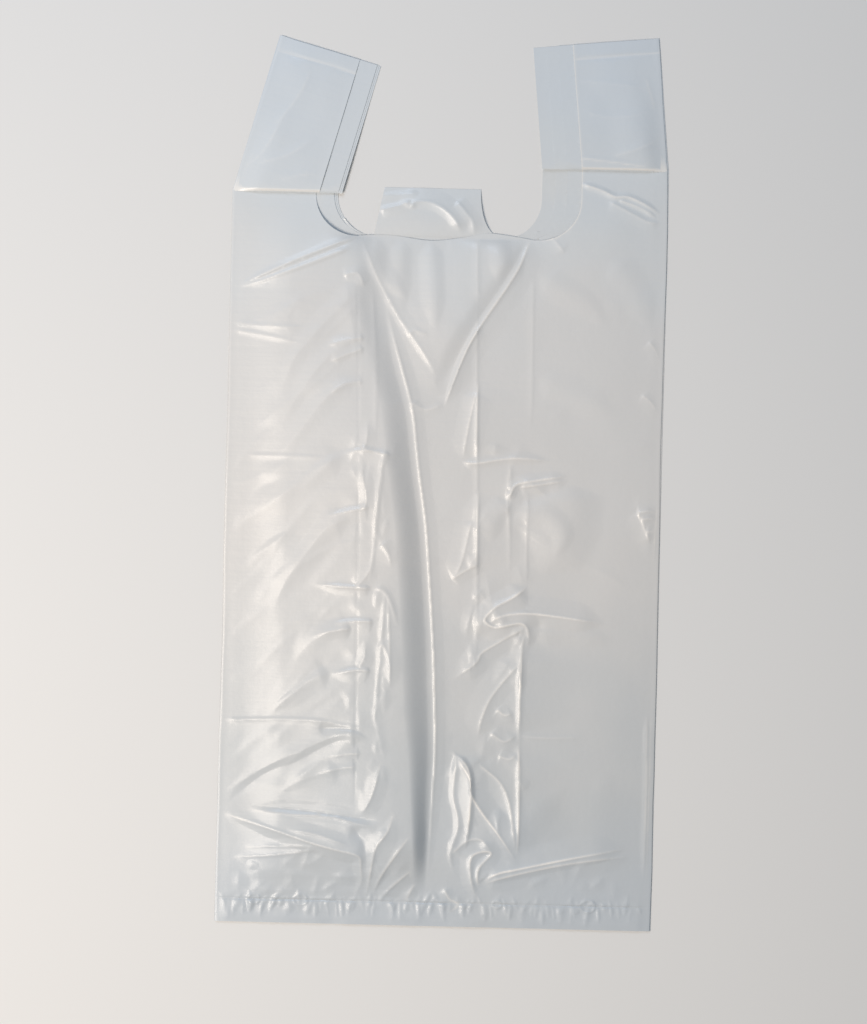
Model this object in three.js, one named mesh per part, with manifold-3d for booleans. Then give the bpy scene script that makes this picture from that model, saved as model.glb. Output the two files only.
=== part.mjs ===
// Vest carrier bag of thin white film, lying flat and empty on its rear panel.
//
// The bag is one film tube with a gusset folded into each side, so a strap has four plies and the
// middle of the bag has two. It is welded shut across the hem and across both strap tops, and the
// neck is cut out between the straps. Each strap leans in over a small pleat at its foot.
//
// X runs across the bag, Y from the hem to the strap tops and Z up from the surface it lies on.

import * as THREE from 'three';
import Module from 'manifold-3d';
import { mergeVertices } from 'three/addons/utils/BufferGeometryUtils.js';

const wasm = await Module();
wasm.setup();

// Driving dimensions, in millimetres and degrees.
const BAG_WIDTH = 300;
const BAG_LENGTH = 613;
const GUSSET_DEPTH = 90;

// The film is drawn thicker than the real one, and its plies lie a little apart.
const FILM = 0.4;
const PLY_GAP = 0.3;

// Welds: the hem's weld sits above its cut edge, a strap's weld below its top edge.
const HEM_HEIGHT = 16;
const STRAP_WELD_DROP = 10;
const WELD_WIDTH = 3;
const HEM_STEP = 1;

// Neck: the rear panel has slid across under the front one, so its cut edge shows inside the front's.
const NECK_HEIGHT = 472;
const NECK_RADIUS = 28;
const FRONT_NECK_WIDTH = 182;
const REAR_NECK_WIDTH = 146;
const REAR_NECK_CENTRE = -8;

// Tab that stands up from the rear panel in the middle of the neck.
const TAB_WIDTH = 66;
const TAB_HEIGHT = 34;
const TAB_CENTRE = -12;
const TAB_LEFT_FLARE = 7;
const TAB_RIGHT_FLARE = 20;

// Straps: how far above the neck the pleat at the strap's foot lies, and how far the strap leans in.
const LEFT_PLEAT_RISE = 29;
const LEFT_LEAN_DEGREES = 15.5;
const RIGHT_PLEAT_RISE = 49;
const RIGHT_LEAN_DEGREES = 5.5;

// Relief of the front panel: the film stands off the gussets in two lobes with a trough between them,
// a long fold runs down the trough, and creases fan out from the fold and from the neck.
const LOBE_RISE = 3;
const LOBE_EASE = 55;
const TROUGH_WIDTH = 34;
const FOLD_RISE = 5;
const FOLD_OFFSET = 7;
const FOLD_HALF_WIDTH = 9;
const CREASE_RISE = 3;
const CREASE_HALF_WIDTH = 11;
const EDGE_EASE = 20;

// Squares that the front panel is drawn in.
const COLUMNS_LEFT = 18;
const COLUMNS_RIGHT = 24;
const ROWS = 52;
const ARC_STEPS = 4;

// Derived levels: plies are counted up from the rear panel, each measured at the middle of its film.
const HALF_WIDTH = BAG_WIDTH / 2;
const LEFT_PLEAT_HEIGHT = NECK_HEIGHT + LEFT_PLEAT_RISE;
const RIGHT_PLEAT_HEIGHT = NECK_HEIGHT + RIGHT_PLEAT_RISE;
const PITCH = FILM + PLY_GAP;
const REAR_PLY = 0;
const LOWER_GUSSET = 1;
const UPPER_GUSSET = 2;
const FRONT_PLY = 3;
const STACK_HEIGHT = FRONT_PLY * PITCH + FILM;
const FRONT_UNDERSIDE = FRONT_PLY * PITCH;
const PANEL_SPLIT = FRONT_UNDERSIDE - PLY_GAP / 2;
const FOLD_CENTRE = HALF_WIDTH - (PITCH + FILM) / 2;
const GUSSET_CENTRE = HALF_WIDTH - GUSSET_DEPTH + (PITCH + FILM) / 2;

// The front panel overlaps the folded edges by the lip, and rides a hair above them.
const LIP = 2;
const LIP_STEP = 0.05;

// Cutting shapes reach this far past what they cut.
const CUT_MARGIN = 40;

// Crease points are shares of the half width and of the height of the neck.
const CENTRAL_FOLD = [
  [-0.06, -0.04], [-0.04, 0.14], [-0.06, 0.22], [-0.11, 0.46], [-0.16, 0.63],
  [-0.24, 0.79], [-0.28, 0.87], [-0.34, 0.94], [-0.38, 1.2],
];
const CREASES = [
  { rise: 1.3, path: [[-0.4, 1.02], [-0.32, 0.94], [-0.16, 0.86], [-0.05, 0.77]] },
  { rise: 1.5, path: [[0.38, 1.02], [0.29, 0.95], [0.1, 0.85], [-0.01, 0.75]] },
  { rise: 0.7, path: [[-0.37, 1.02], [-0.65, 0.97], [-0.96, 0.92]] },
  { rise: 0.6, path: [[-1, 0.86], [-0.7, 0.855], [-0.45, 0.86]] },
  { rise: 0.8, path: [[-0.22, 0.68], [-0.53, 0.69], [-0.71, 0.64], [-0.97, 0.57]] },
  { rise: 0.8, path: [[-0.3, 0.61], [-0.51, 0.6], [-0.74, 0.53]] },
  { rise: 0.8, path: [[-0.2, 0.5], [-0.35, 0.49], [-0.6, 0.49]] },
  { rise: 0.8, path: [[-0.2, 0.44], [-0.45, 0.44], [-0.65, 0.41]] },
  { rise: 0.8, path: [[-0.25, 0.37], [-0.48, 0.38], [-0.8, 0.31]] },
  { rise: 0.9, path: [[-0.2, 0.28], [-0.46, 0.27], [-0.6, 0.25], [-0.98, 0.19]] },
  { rise: 0.7, path: [[-0.2, 0.13], [-0.5, 0.155], [-0.9, 0.175]] },
  { rise: 0.9, path: [[-0.3, 0.04], [-0.37, 0.1], [-0.53, 0.12], [-0.98, 0.165]] },
  { rise: 0.7, path: [[0.25, 0.64], [0.4, 0.655], [0.6, 0.66]] },
  { rise: 1, path: [[0.42, 0.5], [0.22, 0.45], [0.33, 0.455], [0.56, 0.455], [0.82, 0.43]] },
  { rise: 0.8, path: [[0.12, 0.23], [0.2, 0.18], [0.37, 0.08]] },
  { rise: 0.9, path: [[0.18, 0.06], [0.3, 0.08], [0.59, 0.1], [0.9, 0.125]] },
  { rise: 1, path: [[0.56, 1.09], [0.78, 1.06], [1, 1.03]] },
];

const film = new THREE.MeshStandardMaterial({ color: '#d2d6d9', roughness: 0.38, metalness: 0 });

// Solids and cuts.
function solid(geometry) {
  const bare = geometry.clone();
  bare.deleteAttribute('normal');
  bare.deleteAttribute('uv');
  const merged = mergeVertices(bare);
  const vertProperties = new Float32Array(merged.attributes.position.array);
  const triVerts = new Uint32Array(merged.index.array);
  return new wasm.Manifold(new wasm.Mesh({ numProp: 3, vertProperties, triVerts }));
}

function geometryOf(body) {
  const mesh = body.getMesh();
  const geometry = new THREE.BufferGeometry();
  geometry.setAttribute('position', new THREE.Float32BufferAttribute(mesh.vertProperties, 3));
  geometry.setIndex(Array.from(mesh.triVerts));
  return geometry;
}

function moved(body, matrix) {
  return solid(geometryOf(body).applyMatrix4(matrix));
}

// A plan outline raised from one height to another.
function plate(shape, from, to) {
  const options = { depth: to - from, bevelEnabled: false, curveSegments: 3 * ARC_STEPS };
  return solid(new THREE.ExtrudeGeometry(shape, options).translate(0, 0, from));
}

function outlineOf(...corners) {
  return new THREE.Shape(corners.map(([x, y]) => new THREE.Vector2(x, y)));
}

function block(left, right, near, far, from, to) {
  return plate(outlineOf([left, near], [right, near], [right, far], [left, far]), from, to);
}

// A section across the bag, drawn in X and Z, run along the bag from one place to another.
function run(shape, near, far) {
  const options = { depth: far - near, bevelEnabled: false };
  return solid(new THREE.ExtrudeGeometry(shape, options).rotateX(Math.PI / 2).translate(0, far, 0));
}

// The tube's section: one line through the middle of the film, folded at the sides.
function plyLevel(ply) {
  return ply * PITCH + FILM / 2;
}

function foldArc(x, lowerPly, facing) {
  const middle = plyLevel(lowerPly) + PITCH / 2;
  const points = [];
  for (let step = 0; step <= ARC_STEPS; step += 1) {
    const angle = (step / ARC_STEPS - 0.5) * Math.PI;
    const out = facing * Math.cos(angle) * PITCH / 2;
    points.push(new THREE.Vector2(x + out, middle + Math.sin(angle) * PITCH / 2));
  }
  return points;
}

function rightSide() {
  return [
    ...foldArc(FOLD_CENTRE, REAR_PLY, 1),
    ...foldArc(GUSSET_CENTRE, LOWER_GUSSET, -1),
    ...foldArc(FOLD_CENTRE, UPPER_GUSSET, 1),
  ];
}

function mirrored(points) {
  return points.map((point) => new THREE.Vector2(-point.x, point.y)).reverse();
}

// The line moved sideways by a distance, with its corners kept sharp.
function beside(points, distance, closed) {
  const last = points.length - 1;
  return points.map((point, index) => {
    const before = points[index === 0 ? (closed ? last : 0) : index - 1];
    const after = points[index === last ? (closed ? 0 : last) : index + 1];
    const into = before === point ? after.clone().sub(point) : point.clone().sub(before);
    const outOf = after === point ? into.clone() : after.clone().sub(point);
    const along = into.normalize().add(outOf.normalize()).normalize();
    const reach = distance / along.dot(outOf);
    return new THREE.Vector2(point.x + along.y * reach, point.y - along.x * reach);
  });
}

// The whole tube, closed all the way round.
function tubeSection() {
  const line = [...rightSide(), ...mirrored(rightSide())];
  const shape = new THREE.Shape(beside(line, FILM / 2, true));
  shape.holes.push(new THREE.Path(beside(line, -FILM / 2, true)));
  return shape;
}

// The tube without its front panel: it ends in a lip on each side that the front panel takes.
function openSection() {
  const lip = new THREE.Vector2(FOLD_CENTRE - LIP, plyLevel(FRONT_PLY));
  const right = [...rightSide(), lip];
  const line = [...mirrored(right), ...right];
  return new THREE.Shape([...beside(line, FILM / 2, false), ...beside(line, -FILM / 2, false).reverse()]);
}

// A weld across all the plies.
function weld(height) {
  const reach = HALF_WIDTH - FILM / 2;
  const near = height - WELD_WIDTH / 2;
  return block(-reach, reach, near, near + WELD_WIDTH, plyLevel(REAR_PLY), plyLevel(FRONT_PLY));
}

// Neck cuts: a round-cornered opening from the neck up past the strap tops.
function neckOutline(centre, width) {
  const left = centre - width / 2;
  const right = centre + width / 2;
  const corner = NECK_HEIGHT + NECK_RADIUS;
  const shape = new THREE.Shape();
  shape.moveTo(left, BAG_LENGTH + CUT_MARGIN);
  shape.lineTo(left, corner);
  shape.absarc(left + NECK_RADIUS, corner, NECK_RADIUS, Math.PI, 1.5 * Math.PI, false);
  shape.absarc(right - NECK_RADIUS, corner, NECK_RADIUS, 1.5 * Math.PI, 2 * Math.PI, false);
  shape.lineTo(right, BAG_LENGTH + CUT_MARGIN);
  return shape;
}

function tabOutline() {
  const left = TAB_CENTRE - TAB_WIDTH / 2;
  const right = TAB_CENTRE + TAB_WIDTH / 2;
  const root = NECK_HEIGHT - CUT_MARGIN;
  const top = NECK_HEIGHT + TAB_HEIGHT;
  const shape = new THREE.Shape();
  shape.moveTo(left - TAB_LEFT_FLARE, root);
  shape.lineTo(right + TAB_RIGHT_FLARE, root);
  shape.lineTo(right + TAB_RIGHT_FLARE, NECK_HEIGHT);
  shape.quadraticCurveTo(right, NECK_HEIGHT, right, top);
  shape.lineTo(left, top);
  shape.lineTo(left - TAB_LEFT_FLARE, NECK_HEIGHT);
  return shape;
}

function withNeckCut(body) {
  const front = plate(neckOutline(0, FRONT_NECK_WIDTH), PANEL_SPLIT, CUT_MARGIN);
  const tab = plate(tabOutline(), -2 * CUT_MARGIN, 2 * CUT_MARGIN);
  const rear = plate(neckOutline(REAR_NECK_CENTRE, REAR_NECK_WIDTH), -CUT_MARGIN, PANEL_SPLIT).subtract(tab);
  return body.subtract(front).subtract(rear);
}

// Relief of the front panel above its flat level.
const { smoothstep } = THREE.MathUtils;

function onPanel([across, along]) {
  return new THREE.Vector2(across * HALF_WIDTH, along * NECK_HEIGHT);
}

const foldPath = CENTRAL_FOLD.map(onPanel);
const creases = CREASES.map(({ rise, path }) => ({ rise, path: path.map(onPanel) }));

function foldAt(y) {
  const after = foldPath.findIndex((point, index) => index > 0 && (point.y >= y || index === foldPath.length - 1));
  const a = foldPath[after - 1];
  const b = foldPath[after];
  return a.x + (b.x - a.x) * (y - a.y) / (b.y - a.y);
}

// A crease is a ridge with a sharp top that runs out at both ends.
function creaseHeight({ rise, path }, place) {
  let nearest = Infinity;
  let share = 0;
  for (let index = 1; index < path.length; index += 1) {
    const line = path[index].clone().sub(path[index - 1]);
    const along = place.clone().sub(path[index - 1]).dot(line) / line.lengthSq();
    const part = THREE.MathUtils.clamp(along, 0, 1);
    const gap = path[index - 1].clone().addScaledVector(line, part).distanceTo(place);
    if (gap < nearest) {
      nearest = gap;
      share = (index - 1 + part) / (path.length - 1);
    }
  }
  const side = Math.max(0, 1 - nearest / CREASE_HALF_WIDTH);
  return rise * CREASE_RISE * side ** 2 * Math.sin(Math.PI * (0.1 + 0.8 * share));
}

function relief(x, y) {
  const pleat = x < 0 ? LEFT_PLEAT_HEIGHT : RIGHT_PLEAT_HEIGHT;
  const atSide = smoothstep(HALF_WIDTH - Math.abs(x), 0, EDGE_EASE);
  const atHem = smoothstep(y - HEM_HEIGHT, WELD_WIDTH, EDGE_EASE);
  const atPleat = smoothstep(pleat - y, 0, EDGE_EASE);
  const fromFold = x - foldAt(y);
  const leftLobe = smoothstep(-fromFold, 0, LOBE_EASE);
  const rightLobe = smoothstep(fromFold, TROUGH_WIDTH, TROUGH_WIDTH + LOBE_EASE);
  const belowNeck = smoothstep(NECK_HEIGHT - y, 0, LOBE_EASE);
  const ridge = Math.max(0, 1 - Math.abs(fromFold - FOLD_OFFSET) / FOLD_HALF_WIDTH) ** 2;
  const aboveHem = smoothstep(y - HEM_HEIGHT, WELD_WIDTH, LOBE_EASE);
  const place = new THREE.Vector2(x, y);
  const creased = Math.max(...creases.map((crease) => creaseHeight(crease, place)));
  const folded = Math.max(FOLD_RISE * ridge * belowNeck * aboveHem, creased);
  const lobes = LOBE_RISE * (leftLobe + rightLobe) * belowNeck;
  return atSide * atHem * atPleat * (lobes + folded);
}

// The front panel: a sheet drawn in columns that follow the central fold, so that its ridge stays sharp.
function columnsAt(y) {
  const valley = foldAt(y);
  const foot = valley + FOLD_OFFSET + FOLD_HALF_WIDTH;
  const columns = [];
  for (let index = 0; index <= COLUMNS_LEFT; index += 1) {
    columns.push(-FOLD_CENTRE + (valley + FOLD_CENTRE) * index / COLUMNS_LEFT);
  }
  columns.push(valley + FOLD_OFFSET);
  for (let index = 0; index <= COLUMNS_RIGHT; index += 1) {
    columns.push(foot + (FOLD_CENTRE - foot) * index / COLUMNS_RIGHT);
  }
  return columns;
}

function frontPanel() {
  const top = Math.max(LEFT_PLEAT_HEIGHT, RIGHT_PLEAT_HEIGHT) + CUT_MARGIN;
  const across = COLUMNS_LEFT + COLUMNS_RIGHT + 3;
  const sheet = across * (ROWS + 1);
  const places = [];
  for (const level of [0, FILM]) {
    for (let row = 0; row <= ROWS; row += 1) {
      const y = HEM_STEP + (top - HEM_STEP) * row / ROWS;
      for (const x of columnsAt(y)) {
        places.push(x, y, FRONT_UNDERSIDE + LIP_STEP + level + relief(x, y));
      }
    }
  }
  const faces = [];
  const face = (a, b, c, d) => faces.push(a, b, c, a, c, d);
  for (let row = 0; row < ROWS; row += 1) {
    for (let column = 0; column < across - 1; column += 1) {
      const a = row * across + column;
      face(a + sheet, a + 1 + sheet, a + across + 1 + sheet, a + across + sheet);
      face(a + across, a + across + 1, a + 1, a);
    }
    const left = row * across;
    const right = left + across - 1;
    face(left, left + sheet, left + across + sheet, left + across);
    face(right + across, right + across + sheet, right + sheet, right);
  }
  for (let column = 0; column < across - 1; column += 1) {
    const far = ROWS * across + column;
    face(column, column + 1, column + 1 + sheet, column + sheet);
    face(far + sheet, far + 1 + sheet, far + 1, far);
  }
  const geometry = new THREE.BufferGeometry();
  geometry.setAttribute('position', new THREE.Float32BufferAttribute(places, 3));
  geometry.setIndex(faces);
  return solid(geometry);
}

// The pleat at a strap's foot: the stub of the body ends at half the lean under the leaning strap.
function stubSlope(lean) {
  return Math.tan(THREE.MathUtils.degToRad(lean) / 2);
}

function aboveStub(side, pleatHeight, lean) {
  const reach = HALF_WIDTH + CUT_MARGIN;
  const top = BAG_LENGTH + CUT_MARGIN;
  const low = pleatHeight - CUT_MARGIN * stubSlope(lean);
  const high = pleatHeight + HALF_WIDTH * stubSlope(lean);
  const outline = outlineOf([side * reach, low], [0, high], [0, top], [side * reach, top]);
  return plate(outline, -CUT_MARGIN, CUT_MARGIN);
}

function strap(side, pleatHeight, lean) {
  const far = BAG_LENGTH + CUT_MARGIN;
  const near = pleatHeight - CUT_MARGIN;
  const reach = HALF_WIDTH + CUT_MARGIN;
  const sides = [Math.min(0, side * reach), Math.max(0, side * reach)];
  const tube = run(tubeSection(), near, BAG_LENGTH).add(weld(BAG_LENGTH - STRAP_WELD_DROP));
  const upright = withNeckCut(tube).intersect(block(...sides, near, far, -CUT_MARGIN, CUT_MARGIN));
  const apex = new THREE.Matrix4().makeTranslation(side * HALF_WIDTH, pleatHeight, 0);
  const turn = new THREE.Matrix4().makeRotationZ(side * THREE.MathUtils.degToRad(lean));
  const slope = -(STACK_HEIGHT + 2 * PLY_GAP) / (BAG_LENGTH - pleatHeight);
  const ramp = new THREE.Matrix4().makeShear(0, 0, 0, slope, 0, 0);
  const lift = new THREE.Matrix4().makeTranslation(0, 0, STACK_HEIGHT + 2 * PLY_GAP);
  const place = apex.clone().multiply(lift).multiply(ramp).multiply(turn).multiply(apex.clone().invert());
  const foot = block(-2 * reach, 2 * reach, near - 2 * reach, pleatHeight, -CUT_MARGIN, CUT_MARGIN);
  return moved(upright, place).subtract(foot);
}

function pleat(side, pleatHeight, lean) {
  const inner = FRONT_NECK_WIDTH / 2;
  const rise = (HALF_WIDTH - inner) * stubSlope(lean);
  const tip = [side * HALF_WIDTH, pleatHeight];
  const outline = outlineOf(tip, [side * inner, pleatHeight], [side * inner, pleatHeight + rise]);
  return plate(outline, plyLevel(FRONT_PLY), STACK_HEIGHT + 2 * PLY_GAP + plyLevel(REAR_PLY));
}

// The bag: body, hem weld, neck and the two straps on their pleats, with its origin under its middle.
function carrierBag() {
  const sides = [
    [-1, LEFT_PLEAT_HEIGHT, LEFT_LEAN_DEGREES],
    [1, RIGHT_PLEAT_HEIGHT, RIGHT_LEAN_DEGREES],
  ];
  let bag = withNeckCut(run(openSection(), 0, BAG_LENGTH).add(frontPanel()).add(weld(HEM_HEIGHT)));
  for (const side of sides) {
    bag = bag.subtract(aboveStub(...side));
  }
  for (const side of sides) {
    bag = bag.add(pleat(...side)).add(strap(...side));
  }
  const geometry = geometryOf(bag);
  geometry.computeBoundingBox();
  const middle = geometry.boundingBox.getCenter(new THREE.Vector3());
  geometry.translate(-middle.x, -middle.y, -geometry.boundingBox.min.z);
  geometry.computeVertexNormals();
  return new THREE.Mesh(geometry, film);
}

const group = new THREE.Group();
const bag = carrierBag();
bag.name = 'carrier_bag';
group.add(bag);

export default group;
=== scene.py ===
# %% [markdown]
# # A vest carrier bag of thin white film
#
# The object is one empty carrier bag lying flat. A factory blows a tube of polyethylene film, folds a
# gusset into each side, welds it across the bottom and the top, and punches out the neck, which leaves
# two strap handles. So the whole bag is a single sheet of film that closes on itself, and this lesson
# builds it that way: a flat grid of the tube, cut at the neck, then folded and creased into place.
#
# The imported solid gives the size and the place. It is loaded first, and its box sets where the hem
# lies.

# %% Load the imported solid
import math

import bpy
import numpy as np
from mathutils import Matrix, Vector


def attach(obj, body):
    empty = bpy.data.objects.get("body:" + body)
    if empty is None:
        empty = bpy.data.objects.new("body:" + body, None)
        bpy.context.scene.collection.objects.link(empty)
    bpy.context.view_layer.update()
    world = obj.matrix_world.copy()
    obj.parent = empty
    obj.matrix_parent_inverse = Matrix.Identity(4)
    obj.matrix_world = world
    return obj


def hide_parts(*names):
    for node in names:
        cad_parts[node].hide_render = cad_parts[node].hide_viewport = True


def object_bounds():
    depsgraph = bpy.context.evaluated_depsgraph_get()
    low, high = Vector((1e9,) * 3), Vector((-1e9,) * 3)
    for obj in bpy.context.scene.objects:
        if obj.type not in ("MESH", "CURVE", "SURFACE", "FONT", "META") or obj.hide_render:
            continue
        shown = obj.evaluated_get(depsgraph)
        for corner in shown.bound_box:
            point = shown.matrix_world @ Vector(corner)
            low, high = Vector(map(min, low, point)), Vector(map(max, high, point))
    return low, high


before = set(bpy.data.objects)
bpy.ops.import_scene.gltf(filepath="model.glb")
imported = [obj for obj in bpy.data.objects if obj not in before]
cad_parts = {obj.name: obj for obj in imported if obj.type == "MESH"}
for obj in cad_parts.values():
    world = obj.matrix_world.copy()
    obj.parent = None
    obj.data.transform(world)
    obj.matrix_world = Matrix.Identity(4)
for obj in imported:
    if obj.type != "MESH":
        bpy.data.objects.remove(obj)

cad_low, cad_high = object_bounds()
HEM_AT = cad_low.y
MM = 0.001
print("solid", [round(v * 1000, 1) for v in (cad_high - cad_low)], "mm")

# %% [markdown]
# ## Colours
#
# Colours are read off a picture as sRGB hex values, and a shader works in linear light. One function
# turns the first into the second, so every colour below can be written as it looks.

# %% Hex to linear
def linear(hex_colour):
    """sRGB hex text as linear red, green, blue and alpha."""
    parts = [int(hex_colour[i:i + 2], 16) / 255 for i in (1, 3, 5)]
    return [c / 12.92 if c <= 0.04045 else ((c + 0.055) / 1.055) ** 2.4 for c in parts] + [1.0]


print("mid grey", [round(v, 3) for v in linear("#808080")])

# %% [markdown]
# ## Camera
#
# The picture was taken straight down, and the bag lies a little turned in it. The camera therefore
# looks down the Z axis from well above, so that there is hardly any perspective, and is rolled by that
# small angle. The picture shows 1.457 pixels for each millimetre, which sets how much the view takes in
# along its longer, upright side.

# %% Camera straight above the bag
IMAGE_HEIGHT = 1024
PIXELS_PER_MM = 1.457
CAMERA_HEIGHT = 1.6
CAMERA_ROLL = math.radians(1.4)
VIEW_CENTRE_X = -6.2
VIEW_CENTRE_Y = 284.0
SENSOR = 36.0

view_length = IMAGE_HEIGHT / PIXELS_PER_MM * MM
camera_data = bpy.data.cameras.new("camera_above")
camera_data.sensor_width = SENSOR
camera_data.lens = SENSOR * CAMERA_HEIGHT / view_length
camera = bpy.data.objects.new("camera_above", camera_data)
camera.location = (VIEW_CENTRE_X * MM, HEM_AT + VIEW_CENTRE_Y * MM, CAMERA_HEIGHT)
camera.rotation_euler = (0.0, 0.0, CAMERA_ROLL)
bpy.context.scene.collection.objects.link(camera)
bpy.context.scene.camera = camera
bpy.context.scene.view_settings.view_transform = "Standard"
print("lens", round(camera_data.lens, 1), "mm, view", round(view_length * 1000), "mm long")

# %% [markdown]
# ## Floor and light
#
# A glossy white film shows its shape by what it mirrors. Seen from straight above, its flat parts
# mirror the plain space round the camera and its slopes mirror what stands to the side. In the picture
# the brightest facets face left and a little towards the hem, and those that face right are dark. So a
# slightly warm soft lamp stands at the lower left. Slopes that face the straps are bluish, and a weaker
# cool lamp beyond the straps gives them that. A plain world fills the shadows. The floor is a plain pale
# sheet, which keeps the bag's shadow.

# %% Floor, lamps and world
FLOOR_SIZE = 6.0
FLOOR_DROP = 0.0002
FLOOR_ROUGHNESS = 0.9
WORLD_STRENGTH = 0.28


def soft_lamp(name, place, size, watts, colour):
    """A square soft lamp that looks at the middle of the bag."""
    data = bpy.data.lights.new(name, "AREA")
    data.shape = "SQUARE"
    data.size = size
    data.energy = watts
    data.color = linear(colour)[:3]
    lamp = bpy.data.objects.new(name, data)
    lamp.location = place
    lamp.rotation_euler = (-lamp.location).to_track_quat("-Z", "Y").to_euler()
    bpy.context.scene.collection.objects.link(lamp)
    return lamp


soft_lamp("warm_lamp", (-0.86, -0.4, 1.36), 0.75, 19.4, "#FFF2E4")
soft_lamp("cool_lamp", (-0.6, 1.4, 1.4), 0.9, 10.5, "#CFE2FA")

world = bpy.data.worlds.new("studio_world")
bpy.context.scene.world = world
world.use_nodes = True
world.node_tree.nodes["Background"].inputs["Color"].default_value = linear("#E4EDF6")
world.node_tree.nodes["Background"].inputs["Strength"].default_value = WORLD_STRENGTH

bpy.ops.object.select_all(action="DESELECT")
bpy.ops.mesh.primitive_plane_add(size=FLOOR_SIZE, location=(0.0, 0.0, -FLOOR_DROP))
floor = bpy.context.object
floor.name = "floor"
floor_paint = bpy.data.materials.new("matt_white_floor")
floor_paint.use_nodes = True
floor_shader = floor_paint.node_tree.nodes["Principled BSDF"]
floor_shader.inputs["Base Color"].default_value = linear("#E8E8E7")
floor_shader.inputs["Roughness"].default_value = FLOOR_ROUGHNESS
floor_shader.inputs["Specular IOR Level"].default_value = 0.0
floor.data.materials.append(floor_paint)
print("floor and", len(bpy.data.lights), "lamps")

# %% [markdown]
# ## Sizes of the bag
#
# These are the sizes of the solid, in millimetres, so that the film takes its place exactly. X runs
# across the bag from its middle, Y from the hem. The plies of film lie closer together than in the
# solid, because real film is far thinner than anything that can be drawn.

# %% Sizes
BAG_LENGTH = 613.0
HALF_WIDTH = 150.0
GUSSET_DEPTH = 90.0
HEM_HEIGHT = 16.0
STRAP_WELD_DROP = 10.0
NECK_HEIGHT = 472.0
NECK_RADIUS = 28.0
TAB_WIDTH = 66.0
TAB_HEIGHT = 34.0
TAB_CENTRE = -12.0
TAB_LEFT_FLARE = 7.0
TAB_RIGHT_FLARE = 20.0
LEFT_PLEAT = 501.0
LEFT_LEAN = math.radians(15.5)
RIGHT_PLEAT = 521.0
RIGHT_LEAN = math.radians(5.5)
PLY_PITCH = 0.28
FILM = 0.12

# Plies counted up from the rear panel.
REAR, LOWER_GUSSET, UPPER_GUSSET, FRONT = range(4)

# Where the neck is cut in each ply, left and right: the rear plies show inside the front one.
NECK_SIDES = {
    FRONT: (-92.0, 90.0),
    UPPER_GUSSET: (-79.5, 80.0),
    LOWER_GUSSET: (-78.2, 72.0),
    REAR: (-77.0, 63.0),
}
# The front neck edge hangs a little unevenly.
FRONT_NECK_EDGE = [(-55, 473), (-38, 473), (-12, 470), (11, 473), (26, 476), (46, 474), (58, 472)]
print("bag", 2 * HALF_WIDTH, "x", BAG_LENGTH, "mm, tube", 4 * (HALF_WIDTH + GUSSET_DEPTH), "mm round")

# %% [markdown]
# ## The flat tube as a grid
#
# A sheet that folds is easiest to draw flat first: each point of the film keeps its place across and
# along the bag, and a later step says where that place goes when the film is folded. The columns run
# once round the tube. The front panel, which shows, has a fine grid. The other plies are coarser.
#
# The rows bend where a strap has a pleat at its foot, so that both fold lines of the pleat fall on a
# row of the grid and stay sharp.

# %% Columns round the tube
FRONT_STEP = 0.8
GUSSET_STEP = 3.75
REAR_STEP = 2.5
# The rear panel has finer columns where the tab is cut out.
TAB_STEP = 1.0
TAB_COLUMNS = (30.0, -60.0)
INNER = HALF_WIDTH - GUSSET_DEPTH


def stretch(start, end, step, ply):
    """Columns from one fold up to the next, without the last one: place across, ply level and ply."""
    count = round(abs(end - start) / step)
    return [(start + (end - start) * i / count, ply, ply) for i in range(count)]


def ring_columns():
    """All columns round the tube, from the front panel's left fold. A fold lies between two plies."""
    columns = []
    runs = [
        (-HALF_WIDTH, HALF_WIDTH, FRONT_STEP, FRONT, 2.5),
        (HALF_WIDTH, INNER, GUSSET_STEP, UPPER_GUSSET, 2.5),
        (INNER, HALF_WIDTH, GUSSET_STEP, LOWER_GUSSET, 1.5),
        (HALF_WIDTH, TAB_COLUMNS[0], REAR_STEP, REAR, 0.5),
        (*TAB_COLUMNS, TAB_STEP, REAR, REAR),
        (TAB_COLUMNS[1], -HALF_WIDTH, REAR_STEP, REAR, REAR),
        (-HALF_WIDTH, -INNER, GUSSET_STEP, LOWER_GUSSET, 0.5),
        (-INNER, -HALF_WIDTH, GUSSET_STEP, UPPER_GUSSET, 1.5),
    ]
    for start, end, step, ply, fold_level in runs:
        run = stretch(start, end, step, ply)
        run[0] = (start, fold_level, ply)
        columns += run
    return columns


COLUMNS = ring_columns()
ACROSS = np.array([c[0] for c in COLUMNS])
LEVEL = np.array([c[1] for c in COLUMNS], float)
PLY_AFTER = np.array([c[2] for c in COLUMNS])
FRONT_COUNT = int((PLY_AFTER == FRONT).sum())
print(len(COLUMNS), "columns,", FRONT_COUNT, "of them on the front panel")

# %% Rows along the tube
HEM_ROWS = 40
HEM_END = 32.0
BODY_ROWS = 500
BODY_END = 460.0
FOOT_ROWS = 80
WEDGE_ROWS = 6
STRAP_ROWS = 84
APEX_OUT = 2.0
LEFT_REACH = 80.0
RIGHT_REACH = 94.0
BETWEEN_STRAPS = (-60.0, 50.0)


def ease(low, high, value):
    """0 below low, 1 above high and smooth between."""
    t = np.clip((value - low) / (high - low), 0.0, 1.0)
    return t * t * (3.0 - 2.0 * t)


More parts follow.
